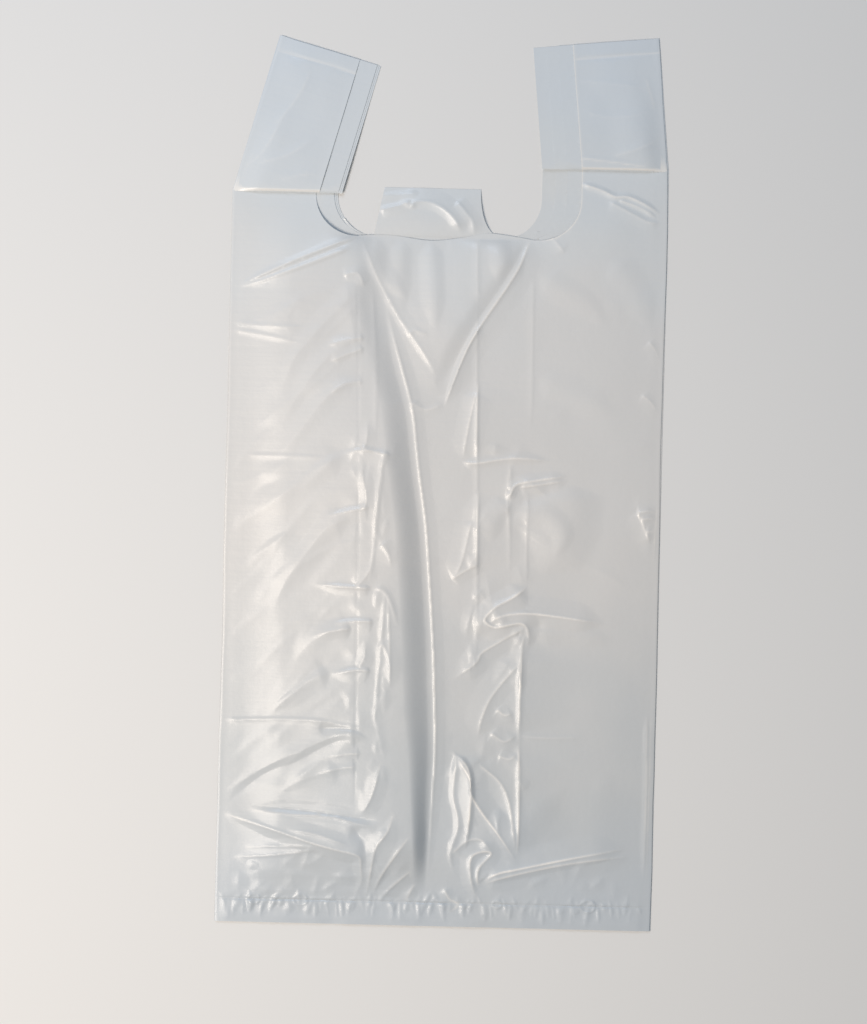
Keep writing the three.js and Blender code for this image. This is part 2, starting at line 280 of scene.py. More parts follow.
def pleat_heights(x):
    """Where the two fold lines of the strap's pleat cross a column."""
    left_reach = np.clip(HALF_WIDTH + APEX_OUT + x, 0.0, LEFT_REACH)
    right_reach = np.clip(HALF_WIDTH + APEX_OUT - x, 0.0, RIGHT_REACH)
    share = ease(*BETWEEN_STRAPS, x)
    first = (1 - share) * (LEFT_PLEAT + left_reach * math.tan(LEFT_LEAN / 2))
    first = first + share * (RIGHT_PLEAT + right_reach * math.tan(RIGHT_LEAN / 2))
    second = (1 - share) * (LEFT_PLEAT + left_reach * math.tan(LEFT_LEAN))
    second = second + share * (RIGHT_PLEAT + right_reach * math.tan(RIGHT_LEAN))
    return first, second


def rows_of(x):
    """The heights of all rows in one column."""
    first, second = pleat_heights(np.array([x]))
    parts = [
        np.linspace(0.0, HEM_END, HEM_ROWS, endpoint=False),
        np.linspace(HEM_END, BODY_END, BODY_ROWS, endpoint=False),
        np.linspace(BODY_END, first[0], FOOT_ROWS, endpoint=False),
        np.linspace(first[0], second[0], WEDGE_ROWS, endpoint=False),
        np.linspace(second[0], BAG_LENGTH, STRAP_ROWS + 1),
    ]
    return np.concatenate(parts)


FIRST_FOLD = HEM_ROWS + BODY_ROWS + FOOT_ROWS
SECOND_FOLD = FIRST_FOLD + WEDGE_ROWS
FLAT_X = np.repeat(ACROSS[:, None], SECOND_FOLD + STRAP_ROWS + 1, axis=1)
FLAT_Y = np.stack([rows_of(x) for x in ACROSS])
ROW_COUNT = FLAT_Y.shape[1]
print(ROW_COUNT, "rows, pleat on rows", FIRST_FOLD, "and", SECOND_FOLD)

# %% [markdown]
# ## Cutting the neck
#
# The neck is punched out of all plies at once. Here each ply gets its own outline, a round-cornered
# opening, and the rear one leaves a tab in its middle. Squares of the grid inside the outline are left
# out, and the points along the cut are then drawn onto the outline, so that its curve is smooth.

# %% Neck outlines
CUT_PAST = 20.0
CORNER_POINTS = 15
LINE_PARTS = 5


def smooth_line(points):
    """A curve through the points, as a finer line."""
    p = np.array(points, float)
    if len(p) < 3:
        return p
    ends = np.vstack([2 * p[0] - p[1], p, 2 * p[-1] - p[-2]])
    t = np.linspace(0.0, 1.0, LINE_PARTS, endpoint=False)[:, None]
    made = []
    for a, b, c, d in zip(ends[:-3], ends[1:-2], ends[2:-1], ends[3:]):
        square = (2 * a - 5 * b + 4 * c - d) * t**2
        cube = (3 * b - a - 3 * c + d) * t**3
        made.append(0.5 * (2 * b + (c - a) * t + square + cube))
    return np.vstack(made + [p[-1:]])


def neck_corner(edge, side):
    """The round corner that leads from one side of the opening down to its lower edge."""
    centre = NECK_HEIGHT + NECK_RADIUS
    made = []
    for turn in np.linspace(0.0, math.pi / 2, CORNER_POINTS):
        across = edge - side * NECK_RADIUS * (1 - math.cos(turn))
        made.append((across, centre - NECK_RADIUS * math.sin(turn)))
    return made


def tab_outline():
    """The tab from its left foot round its top to its flared right foot."""
    left = TAB_CENTRE - TAB_WIDTH / 2
    right = TAB_CENTRE + TAB_WIDTH / 2
    top = NECK_HEIGHT + TAB_HEIGHT
    made = [(left - TAB_LEFT_FLARE, NECK_HEIGHT), (left, top), (right, top)]
    for t in np.linspace(0.1, 0.8, 8):
        made.append((right + TAB_RIGHT_FLARE * t * t, NECK_HEIGHT + TAB_HEIGHT * (1 - t) ** 2))
    return made


def neck_outline(ply):
    """The outline cut out of a ply, as points, and its sharp corners."""
    left, right = NECK_SIDES[ply]
    above = BAG_LENGTH + CUT_PAST
    points = [(left, above)] + neck_corner(left, -1)
    sharp = []
    if ply == FRONT:
        points += smooth_line(FRONT_NECK_EDGE).tolist()
    if ply == REAR:
        tab = tab_outline()
        sharp = tab[1:3]
        points += tab
    for place in neck_corner(right, 1)[::-1]:
        if place[0] > points[-1][0]:
            points.append(place)
    points.append((right, above))
    return np.array(points), np.array(sharp)


OUTLINES = {ply: neck_outline(ply) for ply in NECK_SIDES}
print("neck outlines", {ply: len(points) for ply, (points, sharp) in OUTLINES.items()})

# %% Faces of the tube
COARSE = 20


def face_rows(column):
    """The rows that a column of faces is divided at: all of them on the front, fewer elsewhere."""
    if PLY_AFTER[column] == FRONT:
        return list(range(ROW_COUNT))
    body = HEM_ROWS + BODY_ROWS
    return list(range(0, body, COARSE)) + list(range(body, ROW_COUNT))


def tube_faces():
    """Each face as its points (column, row), with its two columns and its low and high row."""
    faces = []
    boxes = []
    total = len(COLUMNS)
    for column in range(total):
        ahead = (column + 1) % total
        rows = face_rows(column)
        here_fine = column <= FRONT_COUNT
        ahead_fine = ahead <= FRONT_COUNT
        for low, high in zip(rows[:-1], rows[1:]):
            up = range(low, high + 1) if ahead_fine else (low, high)
            down = range(high, low - 1, -1) if here_fine else (high, low)
            faces.append([(ahead, row) for row in up] + [(column, row) for row in down])
            boxes.append((column, ahead, low, high))
    return faces, np.array(boxes)


tube, tube_boxes = tube_faces()
print(len(tube), "faces round the tube")

# %% Cut the neck out of them
def inside(outline, x, y):
    """Which places lie inside a closed outline."""
    found = np.zeros(x.shape, bool)
    ahead = np.roll(outline, -1, axis=0)
    for (ax, ay), (bx, by) in zip(outline, ahead):
        if ay != by:
            crosses = (ay > y) != (by > y)
            found ^= crosses & (x < (bx - ax) * (y - ay) / (by - ay) + ax)
    return found


def onto(outline, x, y):
    """The nearest place of an outline, which is open at its top, to one place."""
    start = outline[:-1]
    line = outline[1:] - start
    share = ((np.array([x, y]) - start) * line).sum(1) / (line * line).sum(1)
    near = start + np.clip(share, 0.0, 1.0)[:, None] * line
    return near[np.argmin(((near - np.array([x, y])) ** 2).sum(1))]


def cut_neck(faces, boxes):
    """Leaves out the faces inside the neck and draws the points along the cut onto its outline."""
    here, ahead, low, high = boxes.T
    corners = [(here, low), (here, high), (ahead, low), (ahead, high)]
    middle_x = sum(FLAT_X[corner] for corner in corners) / 4
    middle_y = sum(FLAT_Y[corner] for corner in corners) / 4
    kept = []
    for ply, (outline, sharp) in OUTLINES.items():
        mine = PLY_AFTER[here] == ply
        cut = mine & inside(outline, middle_x, middle_y)
        gone = {point for i in np.flatnonzero(cut) for point in faces[i]}
        left = np.flatnonzero(mine & ~cut)
        edge = sorted(gone & {point for i in left for point in faces[i]})
        kept += list(left)
        for point in edge:
            FLAT_X[point], FLAT_Y[point] = onto(outline, FLAT_X[point], FLAT_Y[point])
        for corner in sharp:
            point = min(edge, key=lambda p: math.hypot(FLAT_X[p] - corner[0], FLAT_Y[p] - corner[1]))
            FLAT_X[point], FLAT_Y[point] = corner
    return [faces[i] for i in kept], boxes[kept, 0]


film_faces, film_columns = cut_neck(tube, tube_boxes)
print(len(film_faces), "faces of", len(tube), "left after the neck is cut")

# %% [markdown]
# ## Creases
#
# Thin film can't stretch, so it lies in flat facets that meet in sharp lines. Each crease is drawn as
# a line on the panel, with a height and a width on either side of it: a narrow side is a steep facet
# and a wide side a shallow one. A negative height makes a furrow. The very crest is a little round, and
# towards its tips a crease gets lower and narrower, so that it runs out in a point.
#
# The sides of a crease have one of three profiles. A sharp crease has flat facets. A dart's fold is
# hollow, steepest at its crest and running out softly. A broad drape is round at its crest and foot.

# %% The line of a crease
def nearest_on(line, x, y):
    """For each place: the nearest place of a line, how far left of it that is, and the share along it."""
    best = np.full(x.shape, np.inf)
    side, share, at_x, at_y = (np.zeros(x.shape) for value in range(4))
    steps = np.hypot(*np.diff(line, axis=0).T)
    total = steps.sum()
    done = 0.0
    for (ax, ay), (bx, by), length in zip(line[:-1], line[1:], steps):
        dx = (bx - ax) / length
        dy = (by - ay) / length
        along = np.clip((x - ax) * dx + (y - ay) * dy, 0.0, length)
        foot_x = ax + dx * along
        foot_y = ay + dy * along
        away = np.hypot(x - foot_x, y - foot_y)
        nearer = away < best
        best = np.where(nearer, away, best)
        side = np.where(nearer, np.sign(dx * (y - ay) - dy * (x - ax)), side)
        share = np.where(nearer, (done + along) / total, share)
        at_x = np.where(nearer, foot_x, at_x)
        at_y = np.where(nearer, foot_y, at_y)
        done += length
    return at_x, at_y, best * side, share


def close_to(line, x, y, reach):
    """Which places lie in the box round a line."""
    near = (x > line[:, 0].min() - reach) & (x < line[:, 0].max() + reach)
    return near & (y > line[:, 1].min() - reach) & (y < line[:, 1].max() + reach)


print("a line through 3 places gets", len(smooth_line([(0, 0), (5, 2), (10, 0)])), "points")

# %% The sides and the crest of a crease
CREST_ROUND = 0.35
CREST_WIDTH = 1.0
CREST_SHARE = 0.35
CREST_MOST = 0.5
HOLLOW_POWER = 1.5
TIP_SHARE = 0.25


def facet(share):
    """The side of a sharp crease: one flat slope."""
    return share


def hollow(share):
    """The side of a dart's fold: steepest at its crest and running out softly."""
    return share ** HOLLOW_POWER


def rounded(share):
    """The side of a drape: round at its crest and at its foot."""
    return ease(0.0, 1.0, share)


def ridge(x, y, crease, fade, crest=CREST_SHARE, profile=facet):
    """A crease's relief. Fade has the shares of its length over which it begins and ends."""
    points, rise, left, right = crease
    made = np.zeros(x.shape)
    line = smooth_line(points)
    near = close_to(line, x, y, max(left, right))
    if near.any():
        away, share = nearest_on(line, x[near], y[near])[2:]
        ends = ease(0.0, fade[0], share) * (1.0 - ease(1.0 - fade[1], 1.0, share))
        width = np.where(away > 0, left, right) * (TIP_SHARE + (1.0 - TIP_SHARE) * ends)
        flank = np.clip(1.0 - (np.hypot(away, CREST_ROUND) - CREST_ROUND) / width, 0.0, 1.0)
        flank = profile(flank)
        peak = flank * np.exp(-np.abs(away) / CREST_WIDTH)
        crest = min(crest, CREST_MOST / abs(rise))
        made[near] = rise * ((1.0 - crest) * flank + crest * peak) * ends
    return made


print("crests are about", 2 * CREST_WIDTH, "mm wide")

# %% [markdown]
# The lists hold the creases by the part of the bag that they lie on. Each crease has its points in
# millimetres, across from the middle of the bag and up from its hem, then its rise, and its widths to
# the left and right of the way it runs.
#
# The soft folds come first. The dart folds lead away from the darts beside the left gusset, down
# towards the bag's side. The drapes lie round the neck and on the right. All folds of a kind take the
# same share of the rise and widths in their list, so that a whole fan can be made softer at once.

# %% Soft folds
DART_FOLDS = [
    ([(-70, 440), (-66, 418), (-60, 380)], 1.2, 12, 10),
    ([(-66, 430), (-85, 410), (-117, 372)], 1.2, 8, 8),
    ([(-62, 402), (-85, 384), (-112, 344)], 1.3, 8, 8),
    ([(-60, 374), (-80, 362), (-104, 330), (-120, 312)], 1.2, 8, 8),
    ([(-148, 410), (-122, 406), (-98, 402)], 0.3, 8, 7),
    ([(-56, 328), (-77, 323), (-92, 312), (-120, 290)], -0.7, 8, 9),
    ([(-66, 321), (-87, 312), (-105, 297), (-135, 275), (-148, 268)], 1.7, 10, 14),
    ([(-57, 289), (-81, 283), (-91, 270), (-102, 254), (-119, 232)], -0.7, 8, 8),
    ([(-62, 278), (-78, 272), (-93, 253), (-106, 234), (-117, 210)], 1.8, 10, 13),
    ([(-53, 212), (-74, 210), (-86, 205), (-94, 194)], -0.7, 7, 6),
    ([(-60, 204), (-76, 200), (-90, 191), (-100, 178)], 1.5, 8, 11),
    ([(-56, 186), (-73, 180), (-86, 173), (-100, 161), (-118, 147)], -0.8, 8, 7),
    ([(-74, 173), (-88, 167), (-100, 157), (-120, 141)], 1.7, 8, 12),
    ([(-60, 156), (-85, 147), (-98, 139)], -0.6, 7, 7),
    ([(-45, 128), (-58, 132), (-73, 128), (-92, 119), (-115, 108), (-147, 88)], 1.9, 10, 6),
    ([(-58, 128), (-73, 124), (-96, 111), (-119, 101), (-146, 79)], -1.6, 6, 9),
    ([(-66, 108), (-88, 100), (-112, 88)], 1.0, 9, 9),
    ([(-57, 70), (-48, 55), (-46, 38), (-47, 20)], -1.6, 7, 6),
    ([(-128, 34), (-104, 36), (-76, 30)], 1.1, 9, 9),
]
DRAPES = [
    ([(-56, 472), (-100, 453), (-146, 434)], 0.9, 14, 12),
    ([(46, 293), (36, 282), (33, 262)], 1.2, 7, 9),
    ([(48, 279), (58, 284), (73, 283), (83, 270), (76, 252)], 1.2, 8, 10),
    ([(84, 306), (86, 285), (80, 262), (66, 242)], 2.6, 22, 34),
    ([(62, 202), (88, 204), (121, 197)], 1.1, 9, 9),
    ([(61, 449), (94, 430), (110, 413)], 0.9, 9, 12),
    ([(62, 378), (90, 366), (120, 352)], 0.8, 12, 12),
    ([(56, 47), (60, 70), (90, 100)], 0.9, 12, 14),
    ([(110, 462), (128, 440), (140, 410)], 0.8, 12, 12),
    ([(52, 476), (32, 450), (8, 416), (-2, 398), (-7, 380), (-8, 362)], 4.0, 15, 40),
    ([(-13, 472), (-11, 449), (-8, 405)], 1.6, 8, 9),
    ([(-32, 472), (-33, 448), (-30, 420)], 1.1, 7, 8),
    ([(-50, 472), (-46, 449), (-26, 428)], 1.2, 8, 7),
    ([(33, 476), (36, 462), (34, 440)], 1.2, 7, 8),
]
# Each kind with its shares of the rise and of the widths, the shares of its length over which a fold
# begins and ends, and its profile.
FOLD_GROUPS = [
    (DART_FOLDS, 0.7, 1.3, (0.15, 0.5), hollow),
    (DRAPES, 0.75, 1.2, (0.2, 0.4), rounded),
]
print(len(DART_FOLDS) + len(DRAPES), "soft folds")

# %% [markdown]
# The neck's edge was pulled towards both straps, so two folds lead down from its corners and meet in a
# V. From there a long ridge runs down the bag to its hem, a little left of the middle. Fine parallel
# lines lead from the neck to the left side.

# %% Creases below the neck
LONG_RIDGE = [
    (-43, 428), (-36, 402), (-23, 357), (-19, 330), (-16, 307), (-11, 274), (-7, 229),
    (-4, 190), (-2, 150), (-1, 120), (-2, 93), (-3, 65), (-5, 14),
]
NECK_CREASES = [
    (LONG_RIDGE, 1.3, 7, 5),
    ([(-60, 470), (-48, 443), (-33, 417), (-25, 406), (-9, 382), (-8, 368)], 0.65, 7, 3.6),
    ([(56, 474), (47, 450), (24, 414), (15, 398), (8, 381), (-1, 355)], 1.5, 12, 3.5),
    ([(-24, 359), (-13, 354), (0, 359)], 0.5, 3, 6),
    ([(-27, 404), (-22, 408), (-12, 404)], 0.4, 2.5, 3),
    ([(19, 475), (20, 442), (21, 426)], 0.4, 3, 4),
    ([(68, 477), (80, 463)], 0.7, 6.8, 6.8),
    ([(24, 414), (15, 398), (8, 381), (-1, 355)], 0.9, 6, 2.5),
    ([(-60, 473), (-103, 455), (-144, 436)], 1.1, 2.5, 3.5),
    ([(-66, 468), (-103, 452), (-141, 436)], -0.8, 2, 2),
    ([(-66, 464), (-103, 449), (-146, 434)], 1.0, 2.5, 6),
    ([(-72, 444), (-62, 446), (-57, 436)], 0.8, 5, 5),
    ([(-150, 411), (-124, 409), (-92, 408)], 0.3, 1.6, 2.4),
    ([(-150, 406), (-128, 403), (-96, 397)], 0.3, 1.6, 3),
    ([(-56, 402), (-68, 400), (-82, 396)], 0.8, 3.5, 5),
    ([(-56, 395), (-66, 391), (-80, 385)], 0.8, 3.5, 5),
    ([(-56, 372), (-68, 370), (-80, 363)], 0.6, 3, 5),
]
print(len(NECK_CREASES), "creases below the neck")

# %% [markdown]
# Under the front panel lie the inner folds of the two gussets. Where the film has slipped along such a
# fold, it gathers in short darts across it. The left gusset has a row of them, and below them broader
# folds gather towards the hem.

# %% Creases on the left
LOWER_FOLD = [
    (-149, 75), (-110, 64), (-84, 56), (-68, 52), (-52, 48), (-50, 40), (-50, 28), (-56, 18),
]
LEFT_DARTS = [
    ([(-36, 322), (-56, 325), (-72, 321)], 1.2, 9, 3),
    ([(-56, 325), (-53, 332), (-53, 346)], 0.9, 5.1, 6.8),
    ([(-50, 286), (-65, 283), (-80, 279)], 1.3, 9, 3),
    ([(-55, 284), (-52, 291), (-55, 306), (-56, 321)], 1.1, 5.1, 6.8),
    ([(-47, 231), (-57, 231), (-74, 232), (-88, 232)], 1.3, 6, 2.5),
    ([(-58, 231), (-50, 241), (-47, 252)], 0.9, 6.8, 6.8),
    ([(-45, 208), (-59, 208), (-74, 206)], 1.2, 8, 3),
    ([(-60, 203), (-74, 201), (-89, 196)], 0.9, 6, 6.8),
    ([(-46, 174), (-56, 175), (-75, 171)], 1.2, 9, 3),
    ([(-55, 176), (-51, 184), (-51, 198)], 0.9, 5.1, 6.8),
    ([(-45, 232), (-36, 226), (-28, 203)], 0.8, 3.4, 13.6),
    ([(-82, 134), (-65, 135), (-54, 133), (-44, 127)], -1.0, 5.1, 5.1),
    ([(-42, 262), (-36, 254), (-34, 244)], 0.8, 6.8, 8.5),
    ([(-40, 196), (-34, 182), (-33, 160)], 0.8, 8.5, 8.5),
    ([(-52, 118), (-64, 117), (-80, 113)], 0.8, 5.1, 8.5),
    ([(-54, 109), (-68, 107), (-84, 102)], 0.7, 5.1, 8.5),
]
LOWER_LEFT = [
    ([(-128, 80), (-95, 78), (-63, 75), (-36, 72)], -1.3, 6.8, 6),
    ([(-130, 77), (-99, 75), (-71, 74), (-57, 71), (-38, 67)], 1.5, 6.8, 13.6),
    (LOWER_FOLD, 2.2, 11.9, 6.8),
    ([(-104, 65), (-82, 62), (-56, 54)], 0.9, 6.8, 6.8),
    ([(-140, 44), (-107, 47), (-78, 52)], 1.0, 5.1, 10.2),
    ([(-132, 51), (-105, 53), (-79, 53)], 0.8, 5.1, 6.8),
    ([(-38, 113), (-43, 91), (-51, 75)], 1.3, 8.5, 6.8),
    ([(-28, 80), (-32, 66), (-40, 54), (-43, 39), (-46, 18)], 1.4, 10.2, 6.8),
    ([(-17, 63), (-35, 36), (-42, 19)], 1.5, 11.9, 8.5),
    ([(-15, 39), (-30, 25), (-36, 16)], 1.3, 8.5, 6.8),
    ([(-13, 29), (-20, 15)], 0.9, 5.1, 5.1),
]
print(len(LEFT_DARTS) + len(LOWER_LEFT), "creases on the left")

# %% [markdown]
# On the right the film gathers in an S-shaped fold, with darts above and below it. Small lines run
# along the right side and round the foot of its strap.

# %% Creases on the right
S_FOLD = [
    (60, 235), (50, 227), (38, 220), (32, 214), (31, 210),
    (38, 206), (53, 209), (59, 207), (61, 200), (60, 190),
]
RIGHT_DARTS = [
    ([(12, 319), (22, 318), (47, 322), (74, 321)], 1.2, 4, 4),
    ([(21, 368), (16, 342), (13, 319)], 1.0, 11.9, 8.5),
    ([(43, 300), (46, 297), (49, 303), (57, 306), (86, 311)], 1.5, 5, 4),
    ([(52, 302), (70, 305), (86, 308)], 1.0, 2.5, 6),
    ([(20, 279), (14, 251), (8, 238)], 1.0, 13.6, 10.2),
    ([(7, 238), (16, 244), (27, 250)], 1.0, 11.9, 6.8),
    (S_FOLD, 2.4, 10.2, 8.5),
    ([(33, 209), (43, 214), (59, 216), (83, 214), (114, 210)], 2.4, 11.9, 8.5),
    ([(58, 206), (41, 196), (29, 188), (25, 181), (9, 169)], 1.2, 8.5, 10.2),
    ([(58, 202), (55, 180), (57, 160)], 1.0, 5.1, 6.8),
    ([(55, 182), (37, 159), (30, 142), (28, 128)], 1.1, 8.5, 11.9),
    ([(28, 113), (48, 93), (56, 50)], 1.2, 10.2, 11.9),
    ([(40, 150), (46, 146), (52, 148)], 0.8, 6.8, 6.8),
    ([(36, 134), (46, 128), (55, 133)], 0.9, 6.8, 6.8),
    ([(42, 118), (50, 116), (55, 120)], 0.7, 6.8, 6.8),
]
LOWER_RIGHT = [
    ([(8, 120), (13, 116), (12, 90), (16, 70), (11, 50), (15, 34)], 0.7, 3, 3),
    ([(12, 119), (21, 110), (24, 95), (23, 70), (21, 52)], 1.7, 3, 11),
    ([(13, 118), (23, 102), (24, 92), (31, 80), (45, 62), (58, 43)], 2.0, 11.9, 15.3),
    ([(34, 29), (30, 31), (31, 41), (39, 51), (32, 52), (25, 47), (26, 30), (31, 17)], 1.4, 6.8, 6.8),
    ([(33, 30), (43, 37), (59, 41), (94, 49), (134, 57)], 1.9, 13.6, 6.8),
    ([(33, 29), (49, 35), (91, 45), (139, 52)], 1.2, 5.1, 10.2),
    ([(12, 50), (22, 59), (32, 60), (40, 50)], 0.9, 8.5, 8.5),
    ([(7, 27), (11, 19), (17, 15), (8, 7)], 1.0, 5.1, 5.1),
]
RIGHT_EDGE = [
    ([(88, 512), (104, 507), (113, 503), (122, 503), (134, 498), (148, 490)], 1.2, 3, 3),
    ([(115, 501), (130, 496), (143, 489)], 0.8, 2, 2),
    ([(108, 500), (116, 496), (128, 490), (137, 486), (148, 486)], 0.8, 3, 6),
    ([(133, 287), (141, 288), (149, 287)], 1.0, 5.1, 5.1),
    ([(136, 282), (142, 283), (149, 282)], 0.9, 4.2, 5.1),
    ([(140, 274), (145, 274), (150, 273)], 0.8, 5.1, 5.1),
    ([(133, 288), (138, 278), (144, 264)], 0.9, 10.2, 8.5),
    ([(138, 405), (144, 398), (149, 386)], 0.6, 5.1, 6.8),
    ([(134, 368), (142, 362), (149, 352)], 0.6, 5.1, 6.8),
    ([(144, 150), (145, 90), (144, 30)], 0.9, 2.6, 3),
    ([(147, 150), (147, 90), (146, 24)], 0.7, 2, 2),
]
print(len(RIGHT_DARTS) + len(LOWER_RIGHT) + len(RIGHT_EDGE), "creases on the right")

# %% [markdown]
# Between the darts the panel stands in long shallow facets, and faint straight lines show where folds
# of the plies below press through the film.

# %% Facets and straight lines
FACETS = [
    ([(22, 376), (22, 345), (23, 315)], 1.4, 34, 10),
    ([(24, 300), (24, 270), (24, 240)], 1.7, 34, 11),
    ([(57, 198), (56, 165), (56, 130)], 2.0, 38, 18),
    ([(56, 126), (57, 90), (57, 46)], 1.8, 38, 16),
    ([(46, 318), (44, 300), (45, 280), (47, 262)], 0.5, 12, 18),
    ([(148, 292), (147, 272), (146, 250)], 1.0, 3, 12),
    ([(-40, 330), (-44, 300), (-47, 262)], 0.9, 14, 10),
    ([(-36, 226), (-34, 195), (-33, 160)], 0.9, 14, 12),
]
STRAIGHT_LINES = [
    ([(-62, 440), (-60, 380), (-58, 322)], -0.13, 1.3, 1.3),
    ([(-58, 322), (-57, 241), (-56, 141), (-55, 70)], -0.16, 1.3, 1.3),
    ([(-52, 438), (-48, 380), (-47, 330)], 0.28, 2.5, 3),
    ([(-41, 316), (-44, 287), (-47, 249), (-49, 232)], 0.36, 2, 2),
    ([(-38, 229), (-39, 207), (-41, 176), (-43, 135)], 0.36, 2, 2),
    ([(20, 430), (22, 341), (24, 273), (25, 192), (22, 160)], 0.33, 2, 3),
    ([(58, 450), (59, 380), (59, 338)], 0.25, 2, 4),
    ([(58, 300), (58, 262), (59, 232)], 0.33, 2, 4),
    ([(57, 190), (56, 123), (57, 48)], 0.33, 3, 3),
    ([(46, 322), (46, 290), (47, 240)], 0.25, 2, 3),
    ([(-150, 138), (-92, 140), (-65, 137), (-44, 135)], 0.44, 2, 3.5),
    ([(-136, 320), (-106, 320), (-78, 319)], 0.25, 2, 3),
    ([(57, 132), (74, 131), (102, 132)], 0.33, 2.5, 3.5),
]
OTHER_CREASES = RIGHT_DARTS + LOWER_RIGHT + RIGHT_EDGE + STRAIGHT_LINES
# Each group with the shares of its length over which its creases begin and end, and its profile.
CREASE_GROUPS = [
    (NECK_CREASES + OTHER_CREASES, (0.12, 0.25), facet),
    (LEFT_DARTS, (0.12, 0.5), facet),
    (LOWER_LEFT, (0.35, 0.25), facet),
    (FACETS, (0.25, 0.3), hollow),
]
SHARP_CREASES = [crease for creases, fade, profile in CREASE_GROUPS for crease in creases]
print(len(SHARP_CREASES), "sharp creases in all")

# %% [markdown]
# A crease is only sharp if the grid has points on it. So the nearest points of the front panel are
# drawn onto each line, in the flat sheet, before anything is raised.

# %% Draw the grid onto the creases
SNAP = 0.42 * FRONT_STEP
EDGE_COLUMNS = 10
FOLD_ROWS = 2


def snap_to_creases():
    """Moves points of the front panel that are close to a crease onto its line."""
    inner = slice(EDGE_COLUMNS, FRONT_COUNT + 1 - EDGE_COLUMNS)
    body = (inner, slice(HEM_ROWS, FIRST_FOLD - FOLD_ROWS))
    x = FLAT_X[body]
    y = FLAT_Y[body]
    moved = np.zeros(x.shape, bool)
    for crease in SHARP_CREASES:
        line = smooth_line(crease[0])
        near = close_to(line, x, y, SNAP) & ~moved
        at_x, at_y, away, share = nearest_on(line, x[near], y[near])
        taken = (np.abs(away) < SNAP) & (share > 0.0) & (share < 1.0)
        x[near] = np.where(taken, at_x, x[near])
        y[near] = np.where(taken, at_y, y[near])
        moved[near] = taken
    return int(moved.sum())


print(snap_to_creases(), "points drawn onto creases")

# %% [markdown]
# ## Broad forms
#
# Under the creases lie the broad forms. The film stands off the folded gussets in two soft lobes. The
# left one is higher and falls off in a slope along the middle of the bag, down to the long ridge.

# %% Lobes
LEFT_LOBE = 8.5
RIGHT_LOBE = 1.0
SLOPE_HEIGHTS = [16.0, 65.0, 150.0, 480.0]
SLOPE_WIDTHS = [9.0, 13.0, 22.0, 22.0]
LOBE_FOOT = (2.0, 45.0)
LOBE_TOP = 200.0
TOP_SHARE = 0.35
LOBE_SIDE = (20.0, 138.0)
SIDE_FALL = 0.94


def along_fold(y, points):
    """How far across a line, which runs down the bag, lies at a height."""
    places = np.array(points[::-1], float)
    return np.interp(y, places[:, 1], places[:, 0])


def broad_form(x, y):
    """The left lobe with the slope that it falls off by, and the lower right one."""
    away = along_fold(y, LONG_RIDGE) - x
    low = ease(*LOBE_FOOT, y - HEM_HEIGHT)
    top = TOP_SHARE + (1.0 - TOP_SHARE) * ease(0.0, LOBE_TOP, NECK_HEIGHT - y)
    slope = np.interp(y, SLOPE_HEIGHTS, SLOPE_WIDTHS)
    left = LEFT_LOBE * ease(0.0, 1.0, away / slope) * (1.0 - SIDE_FALL * ease(*LOBE_SIDE, away)) * top
    return (RIGHT_LOBE + left) * low


print("lobes", LEFT_LOBE, "and", RIGHT_LOBE, "mm")

# %% [markdown]
# Film never lies quite flat, so seeded noise waves it gently and strews faint creases over it. Where
# the film was pulled in one direction, the faint creases follow that direction.

# %% Waves
NOISE_TABLE = 64
NOISE_START = (31.3, 7.7)
# Height, distance of the bumps, a share that draws them out along the bag, and seed.
FILM_WAVES = [(0.45, 62.0, 1.0, 7), (0.16, 24.0, 0.7, 8), (0.04, 9.0, 1.0, 10)]


def waves(x, y, size, seed):
    """Smooth noise between -1 and 1 whose bumps are about size millimetres apart."""
    table = np.random.default_rng(seed).uniform(-1.0, 1.0, (NOISE_TABLE, NOISE_TABLE))
    u = x / size + NOISE_START[0]
    v = y / size + NOISE_START[1]
    i = np.floor(u).astype(int)
    j = np.floor(v).astype(int)
    a = ease(0.0, 1.0, u - i)
    b = ease(0.0, 1.0, v - j)
    i = i % (NOISE_TABLE - 1)
    j = j % (NOISE_TABLE - 1)
    low = table[i, j] * (1 - a) + table[i + 1, j] * a
    high = table[i, j + 1] * (1 - a) + table[i + 1, j + 1] * a
    return low * (1 - b) + high * b


def waviness(x, y):
    """The film's own gentle waves."""
    return sum(height * waves(x, drawn * y, size, seed) for height, size, drawn, seed in FILM_WAVES)


print(len(FILM_WAVES), "sizes of waves")

# %% Faint creases
FAINT_SEED = 12
FAINT_BOW = 0.2
FAINT_SKEW = 1.6
FAINT_FADE = (0.4, 0.4)
FAINT_CREST = 0.2
# Number, range across, range along, turn and its spread in degrees, half length, rise and width.
STREWN = [
    (46, (-130, 130), (40, 460), 0, 22, (8, 22), (0.08, 0.25), (4, 9)),
    (40, (-134, -70), (95, 325), 42, 7, (18, 36), (0.1, 0.28), (3, 6)),
    (18, (-140, -70), (330, 440), 38, 12, (12, 26), (0.1, 0.3), (3.5, 7)),
    (44, (-62, -34), (60, 330), 88, 14, (5, 14), (0.12, 0.36), (2, 4)),
    (26, (20, 62), (60, 330), 78, 26, (5, 16), (0.3, 0.8), (3, 7)),
    (18, (-135, -20), (20, 46), 65, 30, (4, 12), (0.25, 0.6), (3, 5)),
    (14, (5, 130), (22, 60), 75, 30, (4, 10), (0.2, 0.5), (3, 5)),
]


